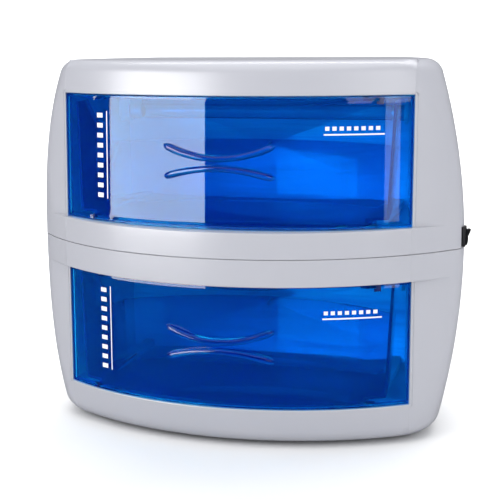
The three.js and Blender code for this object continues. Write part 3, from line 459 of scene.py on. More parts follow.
M = {
    "housing": housing_plastic(),
    "front": clear_blue("clear_blue_front", (0.008, 0.44, 0.82), (0.09, 0.66, 0.91), 0.015, 0.07),
    # Opaque dark blue: painted shade for edges of the clear blue plastic seen end on.
    "thick": moulded("painted_shade_blue", (0.001, 0.010, 0.09), (0.002, 0.018, 0.13), 0.2),
    "bin": clear_blue("clear_blue_bin", (0.010, 0.68, 0.90), (0.10, 0.82, 0.95), 0.03, 0.05),
    "sheet": brushed_sheet(),
    "mirror": metal(
        "polished_aluminium", (0.80, 0.81, 0.82), (0.88, 0.89, 0.90), 0.07, (0.05, 1, 1)
    ),
    "cap": metal("satin_aluminium", (0.58, 0.59, 0.60), (0.72, 0.73, 0.74), 0.28, (1, 0.1, 0.1)),
    "glass": lamp_glass(),
    "ivory": moulded("ivory_plastic", (0.72, 0.69, 0.60), (0.80, 0.78, 0.70), 0.38),
    "black": moulded("black_plastic", (0.012, 0.012, 0.013), (0.022, 0.022, 0.024), 0.34),
    "gloss": moulded("gloss_black", (0.006, 0.006, 0.007), (0.012, 0.012, 0.013), 0.14, 500, 0.03),
    "rubber": moulded("foot_rubber", (0.020, 0.020, 0.021), (0.038, 0.038, 0.040), 0.72, 600, 0.3),
    "zinc": metal("zinc_plate", (0.48, 0.48, 0.47), (0.66, 0.66, 0.67), 0.26, (1, 1, 1), 420),
    "brass": metal("plated_brass", (0.60, 0.47, 0.22), (0.76, 0.64, 0.36), 0.2),
    "case": moulded("ballast_paint", (0.50, 0.51, 0.52), (0.60, 0.61, 0.62), 0.42, 240, 0.35),
    "ink": moulded("white_ink", (0.80, 0.82, 0.85), (0.92, 0.93, 0.95), 0.45, 900, 0.1),
    "floor": pale_floor(),
}

# ---- housing halves

EDGE_STEP = 0.8 * MM  # size of the eased edge at an opening's side
CREASE_ROOM = 3.5 * MM  # from the widest point to the furthest that the crease may lie
HOUSING_RINGS = 30
SWITCH_FIT = 0.35 * MM
FRONT_COLUMNS = 26
CREASE_COLUMNS = 4
SIDE_COLUMNS = 72
BACK_COLUMNS = 4
FAR = 1.0


class Level:
    """What the housing's wall does just below or above a height."""

    def __init__(self, z, side, room, inset=0.0):
        probe = z + side * 1e-7
        self.z = z
        self.inset = inset
        self.room = room
        self.open = room["low"] < probe < room["high"]
        self.push = self.ledge_push(probe)
        self.recess = COVER_LOW.z - COVER_GAP < probe < COVER_HIGH.z + COVER_GAP
        self.through = COVER_LOW.z + 2 * COVER_SEAT < probe < COVER_HIGH.z - 2 * COVER_SEAT

    def ledge_push(self, z):
        """How far the wall draws back as it rounds into the opening's upper or lower ledge."""
        if self.open:
            return FAR
        below = self.room["low"] - z
        above = z - self.room["high"]
        near = below if below > 0 else above
        if near > LEDGE_ROUND:
            return 0.0
        rise = LEDGE_ROUND - near
        return LEDGE_ROUND - math.sqrt(LEDGE_ROUND**2 - rise**2)

    def ring(self):
        line = outline(self.z, self.inset)
        ahead = line[: int(np.argmax(line[:, 0])) + 1]

        def skin(x):
            barrel = np.interp(x, ahead[:, 0], ahead[:, 1])
            face = panel_y(x, self.z, self.room)
            return np.minimum(barrel + self.push, np.maximum(barrel, face))

        points = []
        for x in np.linspace(0, OPEN_HALF, FRONT_COLUMNS + 1):
            y = np.interp(x, ahead[:, 0], ahead[:, 1])
            points.append((x, min(y + self.push, TUNNEL_Y)))
        back = EDGE_STEP if self.open else 0
        past = OPEN_HALF + EDGE_STEP
        points.append((OPEN_HALF, skin(OPEN_HALF) + back))
        points.append((OPEN_HALF + 0.3 * EDGE_STEP, skin(OPEN_HALF) + 0.3 * back))
        points.append((past, skin(past)))
        crease = min(crease_x(self.z, self.room), line[:, 0].max() - CREASE_ROOM)
        for x in np.linspace(past, crease, CREASE_COLUMNS + 1)[1:]:
            points.append((x, skin(x)))
        steps = np.linalg.norm(np.diff(line, axis=0), axis=1)
        travel = np.concatenate([[0], np.cumsum(steps)])
        start = np.interp(crease, ahead[:, 0], travel[: len(ahead)])
        for s in np.linspace(start, travel[-1], SIDE_COLUMNS + 1)[1:]:
            points.append((np.interp(s, travel, line[:, 0]), np.interp(s, travel, line[:, 1])))
        back_y = BACK_Y - self.inset
        deep = back_y - (RECESS_DEPTH if self.recess else 0)
        cover_half = COVER_HIGH.x + COVER_GAP
        for x in np.linspace(line[-1, 0], cover_half, BACK_COLUMNS + 1)[1:]:
            points.append((x, back_y))
        points.append((cover_half, deep))
        for x in (cover_half - COVER_SEAT, cover_half * 0.6, cover_half * 0.3, 0):
            points.append((x, deep))
        other = [(-x, y) for x, y in points[-2:0:-1]]
        return [(x, y, self.z) for x, y in points + other]


def hole_columns(count):
    """Column numbers of the window and of the way through behind the rear cover."""
    half = count // 2
    window = set(range(FRONT_COLUMNS)) | set(range(count - FRONT_COLUMNS, count))
    cover = set(range(half - 3, half + 3))
    return window, cover


def cap(vertices, faces, ring, facing):
    """Closes a ring with smaller and smaller copies of itself."""
    after = ring[1:] + ring[:1]
    ring = [i for i, j in zip(ring, after) if math.dist(vertices[i], vertices[j]) > SLIVER]
    count = len(ring)
    points = np.array([vertices[i] for i in ring])
    centre = np.array([0, points[:, 1].mean(), points[0, 2]])
    before = list(ring)
    for share in (0.75, 0.5, 0.25):
        now = list(range(len(vertices), len(vertices) + count))
        vertices.extend(tuple(centre + (p - centre) * share) for p in points)
        for i in range(count):
            j = (i + 1) % count
            faces.append((before[i], before[j], now[j], now[i])[::facing])
        before = now
    vertices.append(tuple(centre))
    for i in range(count):
        faces.append((before[i], before[(i + 1) % count], len(vertices) - 1)[::facing])


def edge_levels(room, low, high):
    """Heights of the rings between two ends, with the ledges, and those where the wall jumps."""
    jumps = [
        room["low"],
        room["high"],
        COVER_LOW.z - COVER_GAP,
        COVER_HIGH.z + COVER_GAP,
        COVER_LOW.z + 2 * COVER_SEAT,
        COVER_HIGH.z - 2 * COVER_SEAT,
    ]
    jumps = [z for z in jumps if low < z < high]
    heights = list(np.linspace(low, high, HOUSING_RINGS)) + jumps
    for angle in np.radians([0, 22, 45, 68]):
        reach = LEDGE_ROUND * (1 - math.sin(angle))
        heights += [room["low"] - reach, room["high"] + reach]
    return sorted(set(heights)), jumps


def housing_half(name, room, upper):
    """One half of the shell: rings from the seam to the top, or from the base to the seam."""
    seam = SEAM + (SEAM_GAP / 2 if upper else -SEAM_GAP / 2)
    away = 1 if upper else -1
    turns = np.radians([0, 30, 60, 90])
    seam_edge = [
        (seam + away * SEAM_ROUND * math.sin(a), SEAM_ROUND * (1 - math.cos(math.pi / 2 - a)))
        for a in turns
    ]
    end = TOP if upper else BASE
    edge = TOP_ROUND if upper else BASE_ROUND
    far_edge = [
        (end - away * edge * (1 - math.sin(a)), edge * (1 - math.cos(a)))
        for a in np.linspace(0, math.pi / 2, 9)[1:]
    ]
    stop = end - away * edge
    begin = seam + away * SEAM_ROUND
    heights, jumps = edge_levels(room, min(begin, stop), max(begin, stop))
    if not upper:
        seam_edge, far_edge = far_edge[::-1], seam_edge[::-1]
    if upper:
        seam_edge = seam_edge[:-1]
    levels = [Level(z, 0, room, inset) for z, inset in seam_edge]
    for z in heights:
        levels += [Level(z, side, room) for side in ((-1, 1) if z in jumps else (0,))]
    levels += [Level(z, 0, room, inset) for z, inset in (far_edge if upper else far_edge[1:])]

    rings = [level.ring() for level in levels]
    count = len(rings[0])
    window, cover = hole_columns(count)
    vertices = [p for ring in rings for p in ring]
    faces = []
    for k in range(len(rings) - 1):
        a, b = levels[k], levels[k + 1]
        for i in range(count):
            if i in window and a.open and b.open:
                continue
            if i in cover and a.through and b.through:
                continue
            faces.append(quad(k, i, count))
    ends = range((len(rings) - 1) * count, len(rings) * count) if upper else range(count)
    cap(vertices, faces, list(ends), 1 if upper else -1)
    piece = mesh_piece(name, vertices, faces, M["housing"], 32, closed=False)
    thick = piece.modifiers.new("wall", "SOLIDIFY")
    thick.thickness = WALL
    thick.offset = -1
    apply_modifiers(piece)
    shade(piece, 32)
    return piece


def build_housings():
    upper = housing_half("upper_housing_shell", CHAMBERS[0], True)
    low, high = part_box("switch_body")
    fit = Vector((0, SWITCH_FIT, SWITCH_FIT))
    seat = block("switch_seat", low - fit - Vector((1 * MM, 0, 0)), high + fit, M["housing"])
    boolean(upper, seat, "DIFFERENCE")
    shade(upper, 32)
    settle(upper, "cabinet", "housing_plastic", "upper_housing")
    lower = housing_half("lower_housing_shell", CHAMBERS[1], False)
    settle(lower, "cabinet", "housing_plastic", "lower_housing")


# ---- drawer fronts

GRIP_HALF = 53 * MM
GRIP_SPACING = 9 * MM
GRIP_RISE = {1: 12 * MM, -1: 9 * MM}
GRIP_WIDTH = 6.2 * MM
GRIP_PROUD = 6 * MM
GRIP_ROOT = 1.5 * MM
GRIP_FLARE = 0.25  # how much wider the ridges are towards their ends
GRIP_END_POWER = 14  # how late the ends round off
GRIP_END_WIDTH = 0.03
GRIP_STEPS = 40
PANEL_SPAN = 56
PANEL_RISE = 18
CLIP_HEIGHT = 2.4 * MM
CLIP_DEPTH = 9 * MM
CLIP_GAP = 0.6 * MM
# Left and right end of each clip behind the upper and the lower edge.
TOP_CLIPS = ((-134 * MM, -122 * MM), (128 * MM, 143 * MM))
LOW_CLIPS = (
    (-140 * MM, -124 * MM),
    (-115 * MM, -99 * MM),
    (102 * MM, 116 * MM),
    (128 * MM, 142 * MM),
)


def panel_ring(room, inset, depth):
    """Points round the drawer front's rectangle, drawn in by an inset, at a depth."""
    half = PANEL_HALF - inset
    low = room["low"] + PANEL_GAP + inset
    high = room["high"] - PANEL_GAP - inset
    xs = np.linspace(-half, half, PANEL_SPAN + 1)
    zs = np.linspace(low, high, PANEL_RISE + 1)
    path = [(x, low) for x in xs[:-1]] + [(half, z) for z in zs[:-1]]
    path += [(x, high) for x in xs[:0:-1]] + [(-half, z) for z in zs[:0:-1]]
    return [(x, float(panel_y(x, z, room, depth)), z) for x, z in path]


def panel_grid(vertices, faces, room, inset, depth, facing):
    """The front or back face of the drawer front as a grid."""
    half = PANEL_HALF - inset
    low = room["low"] + PANEL_GAP + inset
    high = room["high"] - PANEL_GAP - inset
    start = len(vertices)
    for z in np.linspace(low, high, PANEL_RISE + 1):
        for x in np.linspace(-half, half, PANEL_SPAN + 1):
            vertices.append((x, float(panel_y(x, z, room, depth)), z))
    row = PANEL_SPAN + 1
    for k in range(PANEL_RISE):
        for i in range(PANEL_SPAN):
            a = start + k * row + i
            faces.append((a, a + 1, a + row + 1, a + row)[::facing])


def panel_body(room):
    """A bowed plate with a rim behind it, its edges rounded."""
    r = 0.7 * MM
    deep = PANEL_DEPTH
    profile = [(r * (1 - math.sin(a)), r * (1 - math.cos(a))) for a in np.radians([0, 30, 60, 90])]
    profile += [(0, deep - r), (r * 0.3, deep - 0.3 * r), (r, deep), (RIM_WALL - r * 0.5, deep)]
    profile += [(RIM_WALL, deep - r * 0.5), (RIM_WALL, PANEL_WALL + r), (RIM_WALL + r, PANEL_WALL)]
    rings = [panel_ring(room, inset, depth) for inset, depth in profile]
    count = len(rings[0])
    vertices = [p for ring in rings for p in ring]
    faces = []
    for k in range(len(rings) - 1):
        for i in range(count):
            j = (i + 1) % count
            faces.append((k * count + j, k * count + i, (k + 1) * count + i, (k + 1) * count + j))
    panel_grid(vertices, faces, room, *profile[0], 1)
    panel_grid(vertices, faces, room, *profile[-1], -1)
    return mesh_piece(f"{room['name']}_front_panel", vertices, faces, M["front"], 32)


def grip(room, side):
    """One moulded grip ridge: a rounded bar that curves away from its neighbour."""
    middle = (room["low"] + room["high"]) / 2
    rise = GRIP_RISE[side]
    rings = []
    for t in np.sin(np.linspace(-math.pi / 2, math.pi / 2, GRIP_STEPS + 1)):
        rounding = math.sqrt(max(1 - abs(t) ** GRIP_END_POWER, 0))
        end = rounding * (1 - GRIP_END_WIDTH) + GRIP_END_WIDTH
        x = GRIP_HALF * t
        z = middle + side * (GRIP_SPACING / 2 + rise * t * t)
        along = np.array([1, 2 * side * rise * t / GRIP_HALF])
        along /= np.linalg.norm(along)
        half = GRIP_WIDTH / 2 * (1 + GRIP_FLARE * t * t) * end
        y = float(panel_y(x, middle, room))
        ring = [(1, GRIP_ROOT)]
        for a in np.radians(np.linspace(0, 180, 13)):
            ring.append((math.cos(a), -GRIP_PROUD * end * math.sin(a) ** 0.7))
        ring.append((-1, GRIP_ROOT))
        rings.append(
            [(x - along[1] * w * half, y + out, z + along[0] * w * half) for w, out in ring]
        )
    return mesh_piece(f"{room['name']}_grip", *loft(rings), M["front"], 50)


def clip_lugs(room):
    """Corners of the clips moulded behind the plate's edges, where it snaps on to its bin."""
    made = []
    high = room["high"] - PANEL_GAP - RIM_WALL
    low = room["low"] + PANEL_GAP + RIM_WALL
    for start, end in TOP_CLIPS:
        made.append((start, end, high - CLIP_HEIGHT, high + 0.5 * MM))
    for start, end in LOW_CLIPS:
        made.append((start, end, low - 0.5 * MM, low + CLIP_HEIGHT))
    lugs = []
    for x0, x1, z0, z1 in made:
        y = float(panel_y((x0 + x1) / 2, z0, room))
        lugs.append(((x0, y + PANEL_WALL - 0.5 * MM, z0), (x1, y + CLIP_DEPTH, z1)))
    return lugs


def paint_clip_shade(panel, lugs):
    """Paints the clips, which are seen end on, an opaque dark blue: painted shade standing in for
    how dark the clear plastic looks end on.
    """
    panel.data.materials.append(M["thick"])
    for face in panel.data.polygons:
        for low, high in lugs:
            behind = low[1] + 0.6 * MM < face.center.y < high[1] + 0.1 * MM
            along = low[0] - 0.1 * MM < face.center.x < high[0] + 0.1 * MM
            within = low[2] + 0.4 * MM < face.center.z < high[2] + 0.1 * MM
            if behind and along and within:
                face.material_index = 1


def build_fronts():
    for room in CHAMBERS:
        panel = panel_body(room)
        lugs = clip_lugs(room)
        solids = [block("lug", low, high, M["front"]) for low, high in lugs]
        for other in [grip(room, 1), grip(room, -1), *solids]:
            boolean(panel, other, "UNION")
        paint_clip_shade(panel, lugs)
        shade(panel, 40)
        name = room["name"]
        settle(panel, f"{name}_drawer", "blue_front", f"{name}_drawer_front")


# ---- drawer bins

BIN_SIDE = 11 * MM
BIN_LIFT = 3.2 * MM
BIN_WALL = 2.5 * MM
BIN_SET_BACK = PANEL_WALL + 0.3 * MM
BIN_DRAFT = 5.5 * MM
BIN_CORNER = 9 * MM
BIN_TAPER = 12 * MM
BIN_BOW = 52 * MM
BIN_REAR_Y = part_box("upper_drawer_bin")[1].y
BIN_FRONT = 112 * MM
BIN_REAR = 66 * MM
BIN_TRIM = 0.5 * MM  # taken off the top edge
BIN_FALL = 40 * MM  # how far the sides take to fall to the rear wall's height
BIN_EDGE = 0.5 * MM
EDGE_REACH = 1.2 * MM
FACING_FRONT = -0.6
STEP_IN = 22 * MM
STEP_RISE = 5 * MM
STEP_X = OPEN_HALF - BIN_SIDE - BIN_DRAFT - STEP_IN


def bin_ring(rise, inset, z):
    """The bin from above at a height over its underside, drawn in by an inset."""
    turn = max(1 - rise / BIN_CORNER, 0)
    corner = BIN_CORNER * (1 - math.sqrt(max(1 - turn**2, 0)))
    draft = BIN_DRAFT * (1 - rise / BIN_FRONT) + corner
    half = OPEN_HALF - BIN_SIDE - draft - inset
    rear_half = half - BIN_TAPER
    rear_y = BIN_REAR_Y + BIN_DRAFT * (1 - BIN_REAR / BIN_FRONT) - draft - inset
    radius = radius_of(rear_half, BIN_BOW)
    a = math.asin(rear_half / radius)
    rear = arc(0, rear_y - radius, radius, math.pi / 2 - a, math.pi / 2 + a, 48)
    return [(-half, FACE_Y, z), (half, FACE_Y, z)] + [(x, y, z) for x, y in rear]


def bin_solid(room):
    floor = room["low"] + BIN_LIFT
    rises = [BIN_CORNER * (1 - math.cos(a)) for a in np.linspace(0, math.pi / 2, 8)]
    rises.append(BIN_FRONT)
    name = f"{room['name']}_bin"
    outer = [bin_ring(r, 0, floor + r) for r in rises]
    inner = [bin_ring(r, BIN_WALL, floor + r + BIN_WALL) for r in rises]
    body = mesh_piece(name, *loft(outer), M["bin"], 30)
    hollow = mesh_piece("hollow", *loft(inner), M["bin"], 30)
    step = STEP_RISE
    for side in (-1, 1):
        x = sorted([side * (STEP_X - BIN_WALL), side * FAR])
        boolean(
            hollow,
            block("strip", (x[0], -FAR, -FAR), (x[1], FAR, floor + step + BIN_WALL), M["bin"]),
            "DIFFERENCE",
        )
    boolean(body, hollow, "DIFFERENCE")
    for side in (-1, 1):
        x = sorted([side * STEP_X, side * FAR])
        under = block("strip", (x[0], -FAR, -FAR), (x[1], FAR, floor + step), M["bin"])
        boolean(body, under, "DIFFERENCE")
    boolean(body, ahead_of_front(room), "DIFFERENCE")
    top = room["low"] + PANEL_GAP + RIM_WALL + CLIP_HEIGHT + CLIP_GAP
    for start, end in LOW_CLIPS:
        back = float(panel_y((start + end) / 2, top, room)) + CLIP_DEPTH + CLIP_GAP
        corner = (start - CLIP_GAP, -FAR, floor - STEP_RISE)
        notch = block("notch", corner, (end + CLIP_GAP, back, top), M["bin"])
        boolean(body, notch, "DIFFERENCE")
    boolean(body, above_bin(floor), "DIFFERENCE")
    rounded(body, BIN_EDGE, 2)
    paint_front_edge_shade(body, room)
    return body


def paint_front_edge_shade(body, room):
    """Paints the bin's front edge, which is seen end on, an opaque dark blue: painted shade
    standing in for how dark the clear plastic looks end on.
    """
    body.data.materials.append(M["thick"])
    for face in body.data.polygons:
        x, y, z = face.center
        ahead = float(panel_y(x, z, room, BIN_SET_BACK))
        if face.normal.y < FACING_FRONT and abs(y - ahead) < EDGE_REACH:
            face.material_index = 1


def ahead_of_front(room):
    """Everything ahead of the back of the drawer front's plate."""
    rings = []
    for z in (room["low"] - 10 * MM, room["high"] + 10 * MM):
        xs = np.linspace(-PANEL_HALF - 8 * MM, PANEL_HALF + 8 * MM, 81)
        ring = [(x, float(panel_y(x, z, room, BIN_SET_BACK)), z) for x in xs]
        rings.append([(xs[0], -FAR, z), (xs[-1], -FAR, z)] + ring[::-1])
    return mesh_piece("ahead", *loft(rings), M["bin"])


def above_bin(floor):
    """What is taken off the bin's top, so that its sides fall away under the lamp."""
    points = [
        (-FAR, floor + BIN_FRONT - BIN_TRIM),
        (TUNNEL_Y, floor + BIN_FRONT - BIN_TRIM),
        (TUNNEL_Y + BIN_FALL, floor + BIN_REAR),
        (FAR, floor + BIN_REAR),
        (FAR, FAR),
        (-FAR, FAR),
    ]
    rings = [[(x, y, z) for y, z in points] for x in (-HOUSING_HALF, HOUSING_HALF)]
    return mesh_piece("above", *loft(rings), M["bin"])


def build_bins():
    for room in CHAMBERS:
        name = room["name"]
        settle(bin_solid(room), f"{name}_drawer", "blue_bin", f"{name}_drawer_bin")


# ---- geometry node trees


def node_tree(name, sizes):
    """A geometry node tree with an input for each named size."""
    tree = bpy.data.node_groups.new(name, "GeometryNodeTree")
    tree.interface.new_socket("Geometry", in_out="INPUT", socket_type="NodeSocketGeometry")
    tree.interface.new_socket("Geometry", in_out="OUTPUT", socket_type="NodeSocketGeometry")
    for label, kind in sizes:
        tree.interface.new_socket(label, in_out="INPUT", socket_type=kind)
    return tree, tree.nodes.new("NodeGroupInput"), tree.nodes.new("NodeGroupOutput")


def from_tree(name, mesh, tree, values, material):
    """The mesh that a node tree makes of a starting mesh, as a plain piece."""
    start = bpy.data.objects.new(name, mesh)
    bpy.context.scene.collection.objects.link(start)
    modifier = start.modifiers.new(tree.name, "NODES")
    modifier.node_group = tree
    names = {s.name: s.identifier for s in tree.interface.items_tree if s.in_out == "INPUT"}
    for label, value in values.items():
        modifier[names[label]] = value
    apply_modifiers(start)
    start.data.materials.clear()
    start.data.materials.append(material)
    shade(start, 35)
    return start


def realised(tree, given, made, spread):
    """Ends a tree: its copies are made real, given the material and handed out."""
    real = tree.nodes.new("GeometryNodeRealizeInstances")
    paint = tree.nodes.new("GeometryNodeSetMaterial")
    tree.links.new(spread.outputs["Instances"], real.inputs["Geometry"])
    tree.links.new(real.outputs["Geometry"], paint.inputs["Geometry"])
    tree.links.new(given.outputs["Material"], paint.inputs["Material"])
    tree.links.new(paint.outputs["Geometry"], made.inputs["Geometry"])
    return tree


def row_of_marks():
    """Flat marks in a row: a line of points, a mark on each, made real and given its material."""
    sizes = [
        ("Count", "NodeSocketInt"),
        ("Pitch", "NodeSocketVector"),
        ("Size", "NodeSocketVector"),
        ("Material", "NodeSocketMaterial"),
    ]
    tree, given, made = node_tree("row_of_marks", sizes)
    line = tree.nodes.new("GeometryNodeMeshLine")
    mark = tree.nodes.new("GeometryNodeMeshCube")
    spread = tree.nodes.new("GeometryNodeInstanceOnPoints")
    link = tree.links.new
    mark.inputs["Vertices X"].default_value = 8
    link(given.outputs["Count"], line.inputs["Count"])
    link(given.outputs["Pitch"], line.inputs["Offset"])
    link(given.outputs["Size"], mark.inputs["Size"])
    link(line.outputs["Mesh"], spread.inputs["Points"])
    link(mark.outputs["Mesh"], spread.inputs["Instance"])
    return realised(tree, given, made, spread)


def copies_on_points():
    """One template solid on every point of the starting mesh, turned by the given angles."""
    sizes = [
        ("Template", "NodeSocketObject"),
        ("Turn", "NodeSocketVector"),
        ("Material", "NodeSocketMaterial"),
    ]
    tree, given, made = node_tree("copies_on_points", sizes)
    source = tree.nodes.new("GeometryNodeObjectInfo")
    spread = tree.nodes.new("GeometryNodeInstanceOnPoints")
    link = tree.links.new
    link(given.outputs["Template"], source.inputs["Object"])
    link(given.outputs["Geometry"], spread.inputs["Points"])
    link(source.outputs["Geometry"], spread.inputs["Instance"])
    link(given.outputs["Turn"], spread.inputs["Rotation"])
    return realised(tree, given, made, spread)


def points_mesh(name, points):
    mesh = bpy.data.meshes.new(name)
    mesh.from_pydata([tuple(p) for p in points], [], [])
    return mesh


# ---- printed marks

INK = 0.12 * MM
INK_LIFT = 0.02 * MM
# Where a row starts, from the middle and from the opening's lower edge; how many marks; the way
# to the next; and a mark's width and height.
PRINTS = {
    "left_line": ((-117.5, 65), 1, (0, 0), (1.1, 84)),
    "left_marks": ((-126, 26), 9, (0, 9.6), (7, 4.4)),
    "right_line": ((122, 88), 1, (0, 0), (52, 1.4)),
    "right_marks": ((99, 93.5), 8, (6.2, 0), (3.6, 3.6)),
}
MARKS = row_of_marks()


def print_row(room, name, start, count, pitch, size):
    """A row of plain printed marks, laid on the drawer front's face."""
    values = {
        "Count": count,
        "Pitch": (pitch[0], 0, pitch[1]),
        "Size": (size[0], INK, size[1]),
        "Material": M["ink"],
    }
    label = f"{room['name']}_{name}"
    piece = from_tree(label, points_mesh(label, []), MARKS, values, M["ink"])
    for vertex in piece.data.vertices:
        x, z = vertex.co.x + start[0], vertex.co.z + start[1]
        lift = -INK / 2 - INK_LIFT
        vertex.co = (x, float(panel_y(x, z, room)) + vertex.co.y + lift, z)
    settle(piece, f"{room['name']}_drawer", "blue_front")


def build_prints():
    for room in CHAMBERS:
        for name, (start, count, pitch, size) in PRINTS.items():
            start, pitch, size = (np.array(pair) * MM for pair in (start, pitch, size))
            print_row(room, name, start + (0, room["low"]), count, pitch, size)


# ---- small parts


SCREW_HEAD = 1.9 * MM
SCREW_GAP = 0.02 * MM


def screw_template():
    """A pan-head screw with a cross recess, its head towards +Z and seated at the origin."""
    radius, height, shank = 3.2 * MM, SCREW_HEAD, 1.4 * MM
    profile = [(0.02 * MM, -7 * MM), (shank * 0.5, -7 * MM), (shank, -6 * MM), (shank, 0)]
    profile += [(radius, 0), (radius, height * 0.25)]
    for a in np.radians([25, 50, 75]):
        profile.append((radius * math.cos(a * 0.85), height * (0.25 + 0.75 * math.sin(a))))
    profile.append((0.02 * MM, height))
    piece = lathe("screw_template", profile, 32, (0, 0, 0), (0, 0, 1), M["zinc"])
    for size in ((2.2 * MM, 0.45 * MM), (0.45 * MM, 2.2 * MM)):
        slot = block(
            "slot",
            (-size[0], -size[1], height - 1.1 * MM),
            (size[0], size[1], height + 1 * MM),
            M["zinc"],
        )
        boolean(piece, slot, "DIFFERENCE")
    return piece


def build_screws():
    """The rear cover's screws, heads to the back, and the feet's screws, heads down."""
    template = screw_template()
    tree = copies_on_points()
    for kind, turn in (("cover", (-math.pi / 2, 0, 0)), ("foot", (math.pi, 0, 0))):
        names = [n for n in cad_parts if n.startswith(f"{kind}_screw_")]
        places = []
        for node in names:
            low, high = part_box(node)
            x, y, z = (low + high) / 2
            if kind == "cover":
                places.append((x, COVER_HIGH.y + SCREW_GAP, z))
            else:
                places.append((x, y, low.z + SCREW_HEAD))
        values = {"Template": template, "Turn": turn, "Material": M["zinc"]}
        label = f"{kind}_screws"
        made = from_tree(label, points_mesh(label, places), tree, values, M["zinc"])
        settle(made, "cabinet", "screw_steel", *names)
    bpy.data.objects.remove(template)


def build_feet():
    """Turned rubber feet with a hollow for the screw's head."""
    for node in [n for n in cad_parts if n.startswith("foot_") and "screw" not in n]:
        low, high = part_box(node)
        centre = ((low.x + high.x) / 2, (low.y + high.y) / 2, low.z)
        radius = (high.x - low.x) / 2
        tall = high.z - low.z
        profile = [(5 * MM, 2.4 * MM), (5 * MM, 0.3 * MM), (5.3 * MM, 0), (radius - 1 * MM, 0)]
        profile += [(radius - 0.3 * MM, 0.3 * MM), (radius, 1 * MM), (radius, tall)]
        profile = [(2.1 * MM, 2.4 * MM), *profile, (2.1 * MM, tall), (2.1 * MM, 2.4 * MM)]
        settle(tube_lathe(f"{node}_pad", profile, centre), "cabinet", "foot_rubber", node)


def tube_lathe(name, profile, centre):
    """A turned ring: a closed profile carried round Z."""
    steps = 48
    vertices, faces = [], []
    count = len(profile) - 1
    for a in np.linspace(0, 2 * math.pi, steps, endpoint=False):
        for r, z in profile[:-1]:
            vertices.append(
                (centre[0] + r * math.cos(a), centre[1] + r * math.sin(a), centre[2] + z)
            )
    for k in range(steps):
        for i in range(count):
            j = (i + 1) % count
            n = (k + 1) % steps
            faces.append((k * count + i, k * count + j, n * count + j, n * count + i))
    return mesh_piece(name, vertices, faces, M["rubber"], 35)


def build_rear_cover():
    cover = refined("rear_cover", "rear_cover_panel", M["housing"], 0.4 * MM, 30, 2)
    settle(cover, "cabinet", "housing_plastic", "rear_cover")


def build_inlet():
    inlet = refined("power_inlet", "power_inlet_socket", M["black"], 0.45 * MM, 30)
    settle(inlet, "cabinet", "black_plastic", "power_inlet")
    for pin in ("left", "right", "earth"):
        node = f"inlet_pin_{pin}"
        blade = refined(node, f"inlet_blade_{pin}", M["brass"], 0.5 * MM, 30)
        settle(blade, "cabinet", "pin_metal", node)


def build_switch():
    body = refined("switch_body", "switch_bezel", M["black"], 0.5 * MM, 30)
    settle(body, "cabinet", "black_plastic", "switch_body")
    paddle = refined("switch_rocker", "switch_paddle", M["gloss"], 0.35 * MM, 12)
    settle(paddle, "rocker", "black_gloss", "switch_rocker")


def build_lamps():
    for room in CHAMBERS:
        name = room["name"]
        low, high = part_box(f"{name}_lamp_tube")
        radius = (high.z - low.z) / 2
        axis_y, axis_z = (low.y + high.y) / 2, (low.z + high.z) / 2
        half = high.x
        end = 1.2 * MM
        profile = [(0.02 * MM, -half), (radius - end, -half), (radius, -half + end)]
        profile += [(radius, x) for x in np.linspace(-half + 4 * MM, half - 4 * MM, 24)]
        profile += [(radius, half - end), (radius - end, half), (0.02 * MM, half)]
        tube = lathe(f"{name}_quartz_tube", profile, 48, (0, axis_y, axis_z), (1, 0, 0), M["glass"])
        wall = 1 * MM
        inner = [(max(r - wall, 0.01 * MM), x * (1 - wall / half)) for r, x in profile]
        hollow = lathe("bore", inner, 48, (0, axis_y, axis_z), (1, 0, 0), M["glass"])
        boolean(tube, hollow, "DIFFERENCE")
        shade(tube, 35)
        settle(tube, "cabinet", "lamp_glass", f"{name}_lamp_tube")
        for side in ("left", "right"):
            node = f"{name}_lamp_cap_{side}"
            end_cap = refined(node, f"{name}_end_cap_{side}", M["cap"], 0.3 * MM, 30)
            settle(end_cap, "cabinet", "lamp_cap_metal", node)


# Inner parts that follow their CAD nodes: material, finish slot, and edge rounding in mm.
REFINED = {
    "lampholder_left": ("ivory", "ivory_plastic", 0.5),
    "lampholder_right": ("ivory", "ivory_plastic", 0.5),
    "runner_left": ("ivory", "ivory_plastic", 0.5),
    "runner_right": ("ivory", "ivory_plastic", 0.5),
    "reflector": ("mirror", "polished_aluminium", 0.15),
    "liner": ("sheet", "stainless_sheet", 0.3),
    "interlock_switch": ("black", "black_plastic", 0.4),
}
WORKS = {
    "middle_deck": ("sheet", "stainless_sheet", 0.3),
    "lower_lamp_ballast": ("case", "ballast_case", 0.8),
    "upper_lamp_ballast": ("case", "ballast_case", 0.8),
    "terminal_block": ("ivory", "ivory_plastic", 0.5),
}


def build_inner_works():
    for room in CHAMBERS:
        name = room["name"]
        for part, (material, slot, bevel) in REFINED.items():
            node = f"{name}_{part}"
            piece = refined(node, f"{node}_fine", M[material], bevel * MM, 30, 2)
            settle(piece, "cabinet", slot, node)
        node = f"{name}_interlock_plunger"
        rod = refined(node, f"{node}_fine", M["ivory"], 0.4 * MM, 40, 2)
        settle(rod, f"{name}_plunger", "ivory_plastic", node)
    for node, (material, slot, bevel) in WORKS.items():
        piece = refined(node, f"{node}_fine", M[material], bevel * MM, 30, 2)
        settle(piece, "cabinet", slot, node)


# ---- stage, lights and camera


def build_stage():
    """A pale floor that turns up into a backdrop."""
    half, front, rear, turn, height = 4.0, -4.0, 1.6, 1.0, 4.0
    profile = [(front, 0.0), (-1.0, 0.0), (rear, 0.0)]
    for a in np.linspace(0, math.pi / 2, 16)[1:]:
        profile.append((rear + turn * math.sin(a), turn * (1 - math.cos(a))))
    profile.append((rear + turn, height))
    vertices = [(x, y, z) for y, z in profile for x in (-half, half)]
    faces = [(2 * i, 2 * i + 1, 2 * i + 3, 2 * i + 2) for i in range(len(profile) - 1)]
    floor = mesh_piece("floor", vertices, faces, M["floor"], 60, closed=False)
    floor.visible_glossy = False


